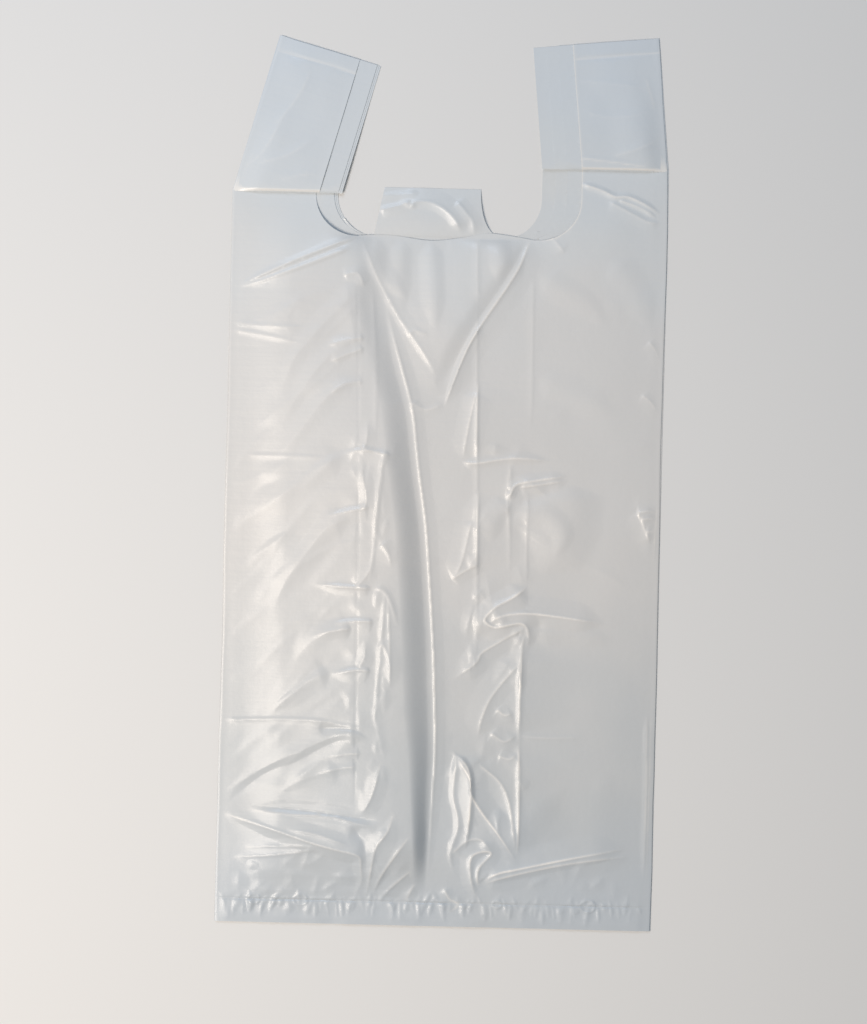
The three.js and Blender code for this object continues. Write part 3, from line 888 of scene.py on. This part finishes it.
def faint_creases(x, y):
    """Short faint creases strewn over parts of the panel, each part with its own turn and sizes."""
    rng = np.random.default_rng(FAINT_SEED)
    made = np.zeros(x.shape)
    for count, across, along, turn, spread, halves, rises, widths in STREWN:
        for number in range(count):
            at_x = rng.uniform(*across)
            at_y = rng.uniform(*along)
            angle = math.radians(rng.normal(turn, spread))
            half = rng.uniform(*halves)
            bow = rng.uniform(-FAINT_BOW, FAINT_BOW) * half
            rise = rng.uniform(*rises)
            width = rng.uniform(*widths)
            dx = half * math.cos(angle)
            dy = half * math.sin(angle)
            points = [(at_x - dx, at_y - dy), (at_x, at_y + bow), (at_x + dx, at_y + dy)]
            made += ridge(x, y, (points, rise, width, FAINT_SKEW * width), FAINT_FADE, FAINT_CREST)
    return made


print(sum(part[0] for part in STREWN), "faint creases")

# %% [markdown]
# The hem weld pulls the film together in small upright puckers, so they are strewn along it with a
# seeded generator, and a few round ones stand on the weld.

# %% Puckers along the hem
PUCKER_SEED = 21
PUCKER_STEP = 3.3
PUCKER_STEPS = (0.4, 1.6)
PUCKER_MARGIN = 5.0
PUCKER_WIDTHS = (0.8, 3.2)
PUCKER_RISES = (0.1, 0.3)
ABOVE_WELD = (0.5, 10.0)
BELOW_WELD = (2.0, 15.5)
PUCKER_LEAN = 6.0
LEAN_BELOW = 0.6
PUCKER_FADE = (0.4, 0.5)
PUCKER_CREST = 0.2
# The round puckers: how far across, and their radius.
RINGS = [(-123.0, 3.2), (-91.0, 3.6), (44.0, 2.4), (106.0, 4.0)]
RING_RISE = 0.5
RING_WIDTH = 1.1
RING_SQUEEZE = 0.8


def puckers(x, y):
    """Small ridges across the hem weld, and the few round ones on it."""
    rng = np.random.default_rng(PUCKER_SEED)
    made = np.zeros(x.shape)
    place = -HALF_WIDTH + PUCKER_MARGIN
    while place < HALF_WIDTH - PUCKER_MARGIN:
        width = rng.uniform(*PUCKER_WIDTHS)
        up = rng.uniform(*ABOVE_WELD)
        down = rng.uniform(*BELOW_WELD)
        lean = rng.uniform(-PUCKER_LEAN, PUCKER_LEAN)
        rise = rng.uniform(*PUCKER_RISES) * width
        foot = (place - lean * LEAN_BELOW, HEM_HEIGHT - down)
        points = [foot, (place, HEM_HEIGHT), (place + lean, HEM_HEIGHT + up)]
        made += ridge(x, y, (points, rise, width, width), PUCKER_FADE, PUCKER_CREST)
        place += rng.uniform(*PUCKER_STEPS) * PUCKER_STEP
    for place, radius in RINGS:
        away = np.hypot((x - place) * RING_SQUEEZE, y - HEM_HEIGHT)
        made += RING_RISE * np.clip(1.0 - np.abs(away - radius) / RING_WIDTH, 0.0, 1.0)
    return made


print("puckers about", PUCKER_STEP, "mm apart and", len(RINGS), "round ones")

# %% [markdown]
# Now the parts are put together to the front panel's relief. The side folds and the pleats hold the
# film down, so the broad forms die out before them, and the creases only just before. The weld is a
# line pressed flat. Below it the film's end stands up a little and waves, and the free neck edge sags.

# %% The front panel's relief
EDGE_EASE = 44.0
CREASE_EASE = 11.0
HEM_EASE = 7.0
FILM_LIFT = 0.4
WELD_HALF = 0.6
WELD_SHARES = (0.6, 1.6)
WELD_PRESS = 0.9
SKIRT_LIFT = 0.2
SKIRT_EASE = 5.0
SKIRT_WAVE = 0.25
SKIRT_WAVE_MM = 11.0
SKIRT_SEED = 33
SKIRT_TOP = 8.0
SKIRT_TOP_EASE = 9.0
NECK_DROP = 0.45
NECK_EASE = 6.0
NECK_FLATTEN = 0.85
NECK_REACH = (50.0, 85.0)


def loose(x, y, reach):
    """0 at the side folds and pleats, which hold the film down, and 1 further in than the reach."""
    pleat = np.where(x < 0, LEFT_PLEAT, RIGHT_PLEAT)
    return ease(0.0, reach, HALF_WIDTH - np.abs(x)) * ease(0.0, reach, pleat - y)


def pressed(y, height):
    """1 on a weld line and 0 away from it."""
    near, far = WELD_SHARES
    return 1.0 - ease(WELD_HALF * near, WELD_HALF * far, np.abs(y - height))


def skirt(x, y):
    """The film's end below the hem weld, which stands up a little and waves."""
    lift = SKIRT_LIFT * ease(0.0, SKIRT_EASE, y)
    wave = SKIRT_WAVE * (1.0 + waves(x, y, SKIRT_WAVE_MM, SKIRT_SEED))
    return lift + wave * ease(0.0, SKIRT_TOP_EASE, HEM_HEIGHT + SKIRT_TOP - y)


def at_neck(x, y):
    """1 at the neck edge between the straps, falling off below it."""
    below = np.clip(NECK_HEIGHT - y, 0.0, None)
    return np.exp(-below / NECK_EASE) * (1.0 - ease(*NECK_REACH, np.abs(x)))


def scaled(fold, rise_share, width_share):
    """A fold with a share of its rise and of its widths."""
    points, rise, left, right = fold
    return points, rise_share * rise, width_share * left, width_share * right


def front_relief(x, y):
    """How far the front panel stands above its flat level, in millimetres."""
    creased = loose(x, y, CREASE_EASE)
    hem = ease(0.0, HEM_EASE, y - HEM_HEIGHT)
    made = loose(x, y, EDGE_EASE) * (broad_form(x, y) + hem * (waviness(x, y) + FILM_LIFT))
    made = made + creased * hem * faint_creases(x, y)
    hem = hem * creased
    for folds, rise_share, width_share, fade, profile in FOLD_GROUPS:
        for fold in folds:
            made += hem * ridge(x, y, scaled(fold, rise_share, width_share), fade, 0.0, profile)
    for creases, fade, profile in CREASE_GROUPS:
        for crease in creases:
            made += hem * ridge(x, y, crease, fade, profile=profile)
    neck = at_neck(x, y)
    made = np.maximum(made, 0.0) * (1.0 - NECK_FLATTEN * neck)
    made = made + (puckers(x, y) + skirt(x, y)) * creased - NECK_DROP * neck
    return made * (1.0 - WELD_PRESS * pressed(y, HEM_HEIGHT))


front_columns = slice(0, FRONT_COUNT + 1)
front_rise = front_relief(FLAT_X[front_columns], FLAT_Y[front_columns])
print("front panel stands up to", round(float(front_rise.max()), 1), "mm above its flat level")

# %% [markdown]
# ## Folding the film into place
#
# Now each flat place is sent to where it lies. Below the pleat it stays. Between the pleat's two fold
# lines the film is turned back, which is a reflection, and above them it is turned on again. Two
# reflections make a rotation, so the strap comes out leaning by twice the angle between the fold lines,
# just as paper does.

# %% Turn a strap about its pleat
PLEATS = {-1: (LEFT_PLEAT, LEFT_LEAN), 1: (RIGHT_PLEAT, RIGHT_LEAN)}


def turned(x, y, side):
    """Where a pleat sends flat places: across, along in the turned-back layer and along in the strap.

    The first turn lays the second fold line level, so the second turn only swaps up and down.
    """
    height, lean = PLEATS[side]
    apex_x = side * (HALF_WIDTH + APEX_OUT)
    dx = (x - apex_x) * -side
    dy = y - height
    across = dx * math.cos(lean) + dy * math.sin(lean)
    up = dy * math.cos(lean) - dx * math.sin(lean)
    return apex_x - side * across, height - up, height + up


print("straps lean by", [round(math.degrees(lean), 1) for height, lean in PLEATS.values()], "degrees")

# %% [markdown]
# A strap lies on its pleat at its foot and comes down to the floor further up. Its front ply has a
# small roll above the fold, soft waves and a few faint creases.

# %% The straps' relief
STRAP_CREASES = [
    ([(-146, 514), (-128, 530), (-112, 560)], 0.4, 7, 9),
    ([(-134, 520), (-112, 526), (-92, 540)], 0.35, 6, 8),
    ([(-122, 545), (-104, 570), (-96, 592)], 0.35, 8, 8),
    ([(-118, 508), (-104, 512), (-90, 514)], 0.3, 4, 6),
    ([(76, 530), (114, 526), (147, 522)], 0.9, 2.5, 2.5),
    ([(110, 530), (128, 536), (146, 545)], 0.5, 5, 6),
    ([(90, 560), (112, 557), (140, 562)], 0.25, 5, 6),
    ([(84, 582), (110, 580), (138, 577)], 0.25, 4, 6),
    ([(132, 585), (136, 574), (141, 560)], 0.4, 4, 4),
]
STRAP_FADE = (0.3, 0.4)
STRAP_CREST = 0.3
STRAP_LIFT = 0.5
# Height, distance of the bumps, slant and seed.
STRAP_WAVES = [(0.5, 34.0, 0.6, 40), (0.2, 14.0, 0.0, 41)]
PLIES = len(NECK_SIDES)
RAMP = 75.0
ROLL_RISE = 0.45
ROLL_LENGTH = 4.0
STRAP_CUSHION = 0.3
CUSHION_EASE = 34.0
STRAP_EDGE = 24.0
STRAP_FOOT = 14.0
STRAP_TOP = 12.0
TOP_REST = 4.0


def strap_relief(x, y):
    """Soft waves and a few faint creases along a strap's front ply."""
    made = np.full(x.shape, STRAP_LIFT)
    for height, size, slant, seed in STRAP_WAVES:
        made = made + height * waves(x + slant * y, y, size, seed)
    for crease in STRAP_CREASES:
        made = made + ridge(x, y, crease, STRAP_FADE, STRAP_CREST)
    return np.maximum(made, 0.0)


def strap_height(x, y, level, side, grown):
    """How high the plies of a strap lie."""
    up = np.clip(y - PLEATS[side][0], 0.0, None)
    ramp = 1.0 - ease(0.0, RAMP, up)
    edge = ease(0.0, STRAP_EDGE, HALF_WIDTH - np.abs(FLAT_X))
    inner = np.abs(FLAT_X - NECK_SIDES[REAR][int(side > 0)])
    cushion = STRAP_CUSHION * ease(0.0, CUSHION_EASE, inner) * edge
    roll = ROLL_RISE * (up / ROLL_LENGTH) * np.exp(1.0 - up / ROLL_LENGTH)
    weld = 1.0 - pressed(FLAT_Y, BAG_LENGTH - STRAP_WELD_DROP)
    soft = ease(0.0, STRAP_FOOT, up) * ease(0.0, STRAP_TOP, BAG_LENGTH - FLAT_Y + TOP_REST)
    front = np.clip(level - UPPER_GUSSET, 0.0, 1.0)
    lying = PLY_PITCH * (level + 2 * PLIES * grown * ramp) + cushion
    return lying + front * edge * (roll * grown + strap_relief(x, y) * soft * weld)


print(len(STRAP_CREASES), "creases on the straps")

# %% [markdown]
# The plies swap their order in the turned-back layer, so each gets its own height there. A pleat runs
# out to nothing at the bag's side, where its two fold lines meet.

# %% Fold
PLEAT_EASE = 20.0


def folded_places():
    """Every point of the film in millimetres: across, along and up."""
    x = FLAT_X.copy()
    y = FLAT_Y.copy()
    level = np.repeat(LEVEL[:, None], ROW_COUNT, axis=1)
    z = PLY_PITCH * level
    z[front_columns] += front_rise
    row = np.arange(ROW_COUNT)[None, :]
    for side in PLEATS:
        mine = np.sign(FLAT_X) == side
        wedge = mine & (row >= FIRST_FOLD) & (row < SECOND_FOLD)
        strap = mine & (row >= SECOND_FOLD)
        turned_x, back_y, on_y = turned(FLAT_X, FLAT_Y, side)
        x = np.where(wedge | strap, turned_x, x)
        y = np.where(wedge, back_y, np.where(strap, on_y, y))
        grown = ease(0.0, PLEAT_EASE, np.clip(HALF_WIDTH + APEX_OUT - side * FLAT_X, 0.0, None))
        turned_back = 2 * PLIES - 1 - level
        lower_fold = PLIES - 0.5
        upper_fold = 2 * PLIES - 0.5
        z = np.where(wedge, PLY_PITCH * (level + (turned_back - level) * grown), z)
        z = np.where(mine & (row == FIRST_FOLD), PLY_PITCH * (level + (lower_fold - level) * grown), z)
        z = np.where(strap, strap_height(x, y, level, side, grown), z)
        z = np.where(mine & (row == SECOND_FOLD), PLY_PITCH * (level + (upper_fold - level) * grown), z)
    return x, y, z


place_x, place_y, place_z = folded_places()
print("film stands", round(float(place_z.max()), 1), "mm high")

# %% [markdown]
# ## Painted crest highlights
#
# Thin bright lines on the high crests, along the strap welds, along the straps' upper pleat fold and
# along the right part of the neck cut are painted into the colour as highlights. Each point of the mesh
# carries how much painted highlight it has, and the finish reads that later. It is strongest on crests
# that stand high.

# %% Painted crest highlights
# Widths, strengths and ramps of the painted highlight lines.
WHITE_WIDTH = 0.65
WHITE_REACH = 3.0
WHITE_RISE = 2.0
WHITE_BEGIN = 0.1
WHITE_END = 0.6
WHITE_MEAN = 0.7
WHITE_VARY = 0.3
WHITE_VARY_MM = 9.0
WHITE_SEED = 61
LEFT_WHITE = 0.5
LEFT_RAMP = (-30.0, -10.0)
WHITE_WELD = 0.3
WHITE_CUT = 0.7
CUT_RAMP = (50.0, 80.0)
WHITE_FOLD = 0.6


def near_crest(x, y, creases):
    """How near each place is to the raised creases: 1 on a strong crest and 0 away from it."""
    made = np.zeros(x.shape)
    for points, rise, left, right in creases:
        line = smooth_line(points)
        near = close_to(line, x, y, WHITE_REACH * WHITE_WIDTH)
        if rise > 0.0 and near.any():
            at_x, at_y, away, share = nearest_on(line, x[near], y[near])
            ends = ease(0.0, WHITE_BEGIN, share) * (1.0 - ease(WHITE_END, 1.0, share))
            vary = WHITE_MEAN + WHITE_VARY * waves(at_x, at_y, WHITE_VARY_MM, WHITE_SEED)
            strength = min(1.0, rise / WHITE_RISE) * ends * vary
            made[near] = np.maximum(made[near], strength * np.exp(-(away / WHITE_WIDTH) ** 2))
    return made


def paint_crest_highlights():
    """The share of painted highlight at every point of the film."""
    made = np.zeros(FLAT_X.shape)
    x = FLAT_X[front_columns]
    y = FLAT_Y[front_columns]
    body = near_crest(x, y, SHARP_CREASES) * (LEFT_WHITE + (1.0 - LEFT_WHITE) * ease(*LEFT_RAMP, x))
    straps = near_crest(place_x[front_columns], place_y[front_columns], STRAP_CREASES)
    weld = WHITE_WELD * np.exp(-((y - BAG_LENGTH + STRAP_WELD_DROP) / WHITE_WIDTH) ** 2)
    away = nearest_on(OUTLINES[FRONT][0], x, y)[2]
    cut = np.exp(-(away / WHITE_WIDTH) ** 2) * ease(*CUT_RAMP, x) * WHITE_CUT
    made[front_columns] = np.maximum.reduce([body, straps, weld, cut])
    made[front_columns, SECOND_FOLD:SECOND_FOLD + FOLD_ROWS] = WHITE_FOLD
    return made


painted_highlight = paint_crest_highlights()
print(int((painted_highlight > 0.5).sum()), "points are more than half whitened")

# %% [markdown]
# ## Tab and edges
#
# A cut edge of film never lies quite down, so each ply curls up a little along its own cut. The tab is
# a free end of the rear panel and bends up. The folded side edges of the bag are never quite straight
# either, and the two folds on a side don't lie exactly on each other.

# %% Lift the cut edges and bend the tab
CUT_LIFT = 0.12
CUT_CURL = 2.4
CUT_BELOW = 12.0
LOWER_CURL = 0.5
TAB_BEND = 2.2
TAB_BELOW = 30.0
TAB_BESIDE = 60.0
TAB_SIDES = 1.4
TAB_POWER = 0.8
TAB_DROOP = 0.35
TAB_FADE = (0.1, 0.2)
TAB_EASE = 0.3
TAB_CREASES = [
    ([(-48, 490), (-36, 493), (-26, 497)], 1.0, 3, 6),
    ([(-48, 500), (-34, 501), (-21, 503)], 0.5, 3, 4),
    ([(-27, 490), (-24, 496), (-13, 496), (-3, 491), (4, 484), (9, 474)], 1.7, 10, 5),
    ([(4, 498), (11, 490), (16, 483), (17, 472)], 1.0, 6, 4),
]


def lift_cut_edges(z):
    """Curls each ply up along its cut, the front one most."""
    for ply, (outline, sharp) in OUTLINES.items():
        mine = (PLY_AFTER == ply)[:, None] & (FLAT_Y > NECK_HEIGHT - CUT_BELOW)
        away = nearest_on(outline, FLAT_X[mine], FLAT_Y[mine])[2]
        curl = CUT_LIFT if ply == FRONT else LOWER_CURL * CUT_LIFT
        z[mine] += curl * np.exp(-np.abs(away) / CUT_CURL)
    return z


def bend_tab(z):
    """The tab swells above the neck and comes down again at its top edge."""
    beside = np.abs(FLAT_X - TAB_CENTRE) < TAB_BESIDE
    on_tab = (LEVEL[:, None] == REAR) & (FLAT_Y > NECK_HEIGHT - TAB_BELOW) & beside
    up = np.clip((FLAT_Y - NECK_HEIGHT) / TAB_HEIGHT, 0.0, 1.0)
    across = np.clip((FLAT_X - TAB_CENTRE) / (TAB_WIDTH / 2), -TAB_SIDES, TAB_SIDES)
    swell = np.sin(math.pi * up ** TAB_POWER) * (1.0 - TAB_DROOP * across**2) * TAB_BEND
    creases = np.zeros(FLAT_X.shape)
    for crease in TAB_CREASES:
        creases += ridge(FLAT_X, FLAT_Y, crease, TAB_FADE)
    raised = np.maximum(swell + creases * ease(0.0, TAB_EASE, up), 0.0)
    return z + np.where(on_tab, raised, 0.0)


place_z = bend_tab(lift_cut_edges(place_z))
print("tab bends up", TAB_BEND, "mm")

# %% Wave the side edges
SIDE_EASE = 14.0
LOWER_INSET = 0.4
# Height, how far apart the two sides are in the noise, distance of the bumps and seed.
SIDE_WAVES = [(0.55, 50.0, 70.0, 51), (0.25, 90.0, 23.0, 52)]


def wave_sides(x):
    """The upper fold lies a little inside the lower one, and both wander slightly."""
    share = ease(HALF_WIDTH - SIDE_EASE, HALF_WIDTH, np.abs(FLAT_X))
    side = np.sign(FLAT_X)
    wander = 0.0
    for height, apart, size, seed in SIDE_WAVES:
        wander = wander + height * waves(FLAT_Y, side * apart, size, seed)
    inset = np.where(LEVEL[:, None] >= UPPER_GUSSET, 1.0, LOWER_INSET)
    return x - side * share * (inset * (1.0 + wander))


place_x = wave_sides(place_x)
print("bag is", round(float(np.ptp(place_x[:, :FIRST_FOLD])), 1), "mm wide")

# %% [markdown]
# ## The mesh
#
# The faces and places become one mesh. A UV map keeps each point's flat place on the tube, so that the
# finish can follow the film through its folds.

# %% Build the film
PROTECTED = 0.15


def number_points():
    """The points of the grid that the faces use, each with its number."""
    index = {}
    for face in film_faces:
        for point in face:
            index.setdefault(point, len(index))
    return index


def flat_places():
    """The flat place of every face corner, round the tube and along it, in metres."""
    steps = np.abs(np.diff(np.append(ACROSS, ACROSS[0])))
    round_tube = np.append(0.0, np.cumsum(steps))
    places = []
    for face, column in zip(film_faces, film_columns):
        for at, row in face:
            places.append(round_tube[at if at >= column else column + 1] * MM)
            places.append(FLAT_Y[at, row] * MM)
    return places


def build_film(name):
    """The folded film as one object, with its UV map, its painted crest highlights and a group of crest
    points.
    """
    index = number_points()
    used = tuple(np.array(list(index)).T)
    places = np.stack([place_x[used] * MM, HEM_AT + place_y[used] * MM, place_z[used] * MM], axis=1)
    mesh = bpy.data.meshes.new(name)
    mesh.from_pydata(places.tolist(), [], [[index[point] for point in face] for face in film_faces])
    mesh.uv_layers.new(name="film").data.foreach_set("uv", flat_places())
    white = painted_highlight[used]
    mesh.attributes.new("painted_highlight", "FLOAT", "POINT").data.foreach_set("value", white.astype(np.float32))
    piece = bpy.data.objects.new(name, mesh)
    crests = piece.vertex_groups.new(name="crests")
    crests.add(np.flatnonzero(white > PROTECTED).tolist(), 1.0, "REPLACE")
    bpy.context.scene.collection.objects.link(piece)
    return piece


bag = build_film("carrier_bag_film")
print("film sheet", len(bag.data.vertices), "points")

# %% [markdown]
# Decimate takes triangles out of the flat parts. The points on crests with painted highlight are kept,
# because there a missing point shows. Decimate can leave a few sliver faces, which would shade as dark
# specks, so those are dissolved. Solidify then gives the sheet its thickness and closes its cut edges,
# and smooth shading with an angle limit keeps the folds sharp.

# %% Thin out and thicken the film
SHEET_TRIANGLES = 94000
SLIVER = 0.22
SHARP_ANGLE = math.radians(60.0)


def apply_modifier(kind, **settings):
    """Adds a modifier to the active object, sets it and applies it."""
    bpy.ops.object.modifier_add(type=kind)
    modifier = bpy.context.object.modifiers[-1]
    for name, value in settings.items():
        setattr(modifier, name, value)
    bpy.ops.object.modifier_apply(modifier=modifier.name)


bpy.ops.object.select_all(action="DESELECT")
bag.select_set(True)
bpy.context.view_layer.objects.active = bag
bag.data.calc_loop_triangles()
kept_share = SHEET_TRIANGLES / len(bag.data.loop_triangles)
apply_modifier("DECIMATE", ratio=kept_share, vertex_group="crests", invert_vertex_group=True)
bpy.ops.object.mode_set(mode="EDIT")
bpy.ops.mesh.select_all(action="SELECT")
bpy.ops.mesh.dissolve_degenerate(threshold=SLIVER * MM)
bpy.ops.object.mode_set(mode="OBJECT")
apply_modifier("SOLIDIFY", thickness=FILM * MM, offset=-1.0)
bpy.ops.object.shade_smooth_by_angle(angle=SHARP_ANGLE)
bag.data.calc_loop_triangles()
print("film mesh", len(bag.data.vertices), "points,", len(bag.data.loop_triangles), "triangles")

# %% [markdown]
# ## The film's finish
#
# The film is blown high-density polyethylene, pigmented white: a waxy, half-glossy skin. Its white drifts
# in soft patches. Over that a ramp by height paints light into the colour: painted shade, darker and
# bluish, at the hem, neutral in the middle, and a painted bluish reflection at the straps. The painted
# crest highlights are mixed in over that. One small function adds a node.

# %% White blown film
# The film's white by the height on the bag, from hem to strap tops, with painted shade at the hem
# and a painted bluish reflection at the straps.
FILM_WHITE_AND_PAINTED_LIGHT = [
    (0.0, "#C5CCD2"),
    (0.16, "#CACED0"),
    (0.42, "#DCDBD9"),
    (0.66, "#DEDEDD"),
    (0.82, "#DADFE2"),
    (1.0, "#D5DDE4"),
]
# The warm white painted onto crests, welds, the fold and the cut edge as highlight.
CREST_HIGHLIGHT_WHITE = "#FFFAF3"
TINT_MM = 80.0
TINT_SHIFT = 0.3
# The colour sockets of the Mix node.
MIX_A = 6
MIX_B = 7
MIX_RESULT = 2


def add(tree, kind, settings=None, **links):
    """Adds a node, sets its properties and values, and links its inputs by name."""
    node = tree.nodes.new(kind)
    for name, value in (settings or {}).items():
        if name in node.inputs:
            node.inputs[name].default_value = value
        else:
            setattr(node, name, value)
    for name, socket in links.items():
        tree.links.new(socket, node.inputs[name.replace("_", " ")])
    return node


film = bpy.data.materials.new("blown_white_hdpe_film")
film.use_nodes = True
tree = film.node_tree
shader = tree.nodes["Principled BSDF"]
place = add(tree, "ShaderNodeTexCoord")
on_bag = place.outputs["Object"]
on_tube = place.outputs["UV"]
patch = add(tree, "ShaderNodeTexNoise", {"Scale": 1000.0 / TINT_MM, "Detail": 2.0}, Vector=on_bag)
parts = add(tree, "ShaderNodeSeparateXYZ", Vector=on_bag)
span = {"From Min": HEM_AT, "From Max": -HEM_AT}
height = add(tree, "ShaderNodeMapRange", span, Value=parts.outputs["Y"])
# Less one half, the node's own second value, so that the patches drift both ways.
wander = add(tree, "ShaderNodeMath", {"operation": "SUBTRACT"}, Value=patch.outputs["Fac"])
shift = add(tree, "ShaderNodeMath", {"operation": "MULTIPLY_ADD"}, Value=wander.outputs["Value"])
shift.inputs[1].default_value = TINT_SHIFT
tree.links.new(height.outputs["Result"], shift.inputs[2])
# This ramp paints shade, darker and bluish, towards the hem and a bluish reflection at the straps.
painted_light_ramp = add(tree, "ShaderNodeValToRGB", Fac=shift.outputs["Value"])
while len(painted_light_ramp.color_ramp.elements) < len(FILM_WHITE_AND_PAINTED_LIGHT):
    painted_light_ramp.color_ramp.elements.new(0.5)
for stop, (share, tone) in zip(painted_light_ramp.color_ramp.elements, FILM_WHITE_AND_PAINTED_LIGHT):
    stop.position = share
    stop.color = linear(tone)
# The painted crest highlights are read from the mesh and mixed into the colour.
creased = add(tree, "ShaderNodeAttribute", {"attribute_name": "painted_highlight"})
white = add(tree, "ShaderNodeMix", {"data_type": "RGBA"}, Factor=creased.outputs["Fac"])
tree.links.new(painted_light_ramp.outputs["Color"], white.inputs[MIX_A])
white.inputs[MIX_B].default_value = linear(CREST_HIGHLIGHT_WHITE)
tree.links.new(white.outputs[MIX_RESULT], shader.inputs["Base Color"])
print("colour of", film.name, "in", len(FILM_WHITE_AND_PAINTED_LIGHT), "tints")

# %% [markdown]
# The gloss is that of a waxy skin: a soft sheen with a smoother coat over it. Blown film has faint
# lines along the way it was drawn, so its roughness varies in streaks. Its fine crinkle is too small
# for the mesh and is left to bump, together with shallow bands across the bag, such as the rollers that
# flatten the tube leave. On real film all three are finer than a millimetre. Here they are drawn a few
# times coarser, because at this distance the real ones wouldn't show.

# %% Gloss and fine relief
# The refractive index of polyethylene, which sets how strongly it mirrors.
FILM_IOR = 1.54
COAT = 0.35
COAT_ROUGHNESS = 0.17
ROUGHNESS = (0.38, 0.5)
STREAK_MM = 1.6
STREAK_DRAWN = 0.02
CRINKLE_MM = 4.0
CRINKLE_DEPTH = 0.0002
CRINKLE_STRENGTH = 0.45
BAND_MM = 4.0
BAND_DRAWN = 0.06
BAND_DEPTH = 0.0004
BAND_STRENGTH = 0.36

shader.inputs["IOR"].default_value = FILM_IOR
shader.inputs["Coat Weight"].default_value = COAT
shader.inputs["Coat Roughness"].default_value = COAT_ROUGHNESS

drawn = add(tree, "ShaderNodeMapping", {"Scale": (1.0, STREAK_DRAWN, 1.0)}, Vector=on_tube)
fineness = {"Scale": 1000.0 / STREAK_MM, "Detail": 3.0}
streak = add(tree, "ShaderNodeTexNoise", fineness, Vector=drawn.outputs["Vector"])
sheen = {"To Min": ROUGHNESS[0], "To Max": ROUGHNESS[1]}
gloss = add(tree, "ShaderNodeMapRange", sheen, Value=streak.outputs["Fac"])
tree.links.new(gloss.outputs["Result"], shader.inputs["Roughness"])

crinkle = add(tree, "ShaderNodeTexNoise", {"Scale": 1000.0 / CRINKLE_MM, "Detail": 4.0}, Vector=on_bag)
depth = {"Strength": CRINKLE_STRENGTH, "Distance": CRINKLE_DEPTH}
fine = add(tree, "ShaderNodeBump", depth, Height=crinkle.outputs["Fac"])
crossways = add(tree, "ShaderNodeMapping", {"Scale": (BAND_DRAWN, 1.0, 1.0)}, Vector=on_tube)
fineness = {"Scale": 1000.0 / BAND_MM, "Detail": 2.0}
band = add(tree, "ShaderNodeTexNoise", fineness, Vector=crossways.outputs["Vector"])
depth = {"Strength": BAND_STRENGTH, "Distance": BAND_DEPTH}
bump = add(tree, "ShaderNodeBump", depth, Height=band.outputs["Fac"], Normal=fine.outputs["Normal"])
tree.links.new(bump.outputs["Normal"], shader.inputs["Normal"])
bag.data.materials.append(film)
print("finish", film.name)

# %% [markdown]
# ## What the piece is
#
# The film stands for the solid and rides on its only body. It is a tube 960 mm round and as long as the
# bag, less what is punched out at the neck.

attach(bag, "root")
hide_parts("carrier_bag")
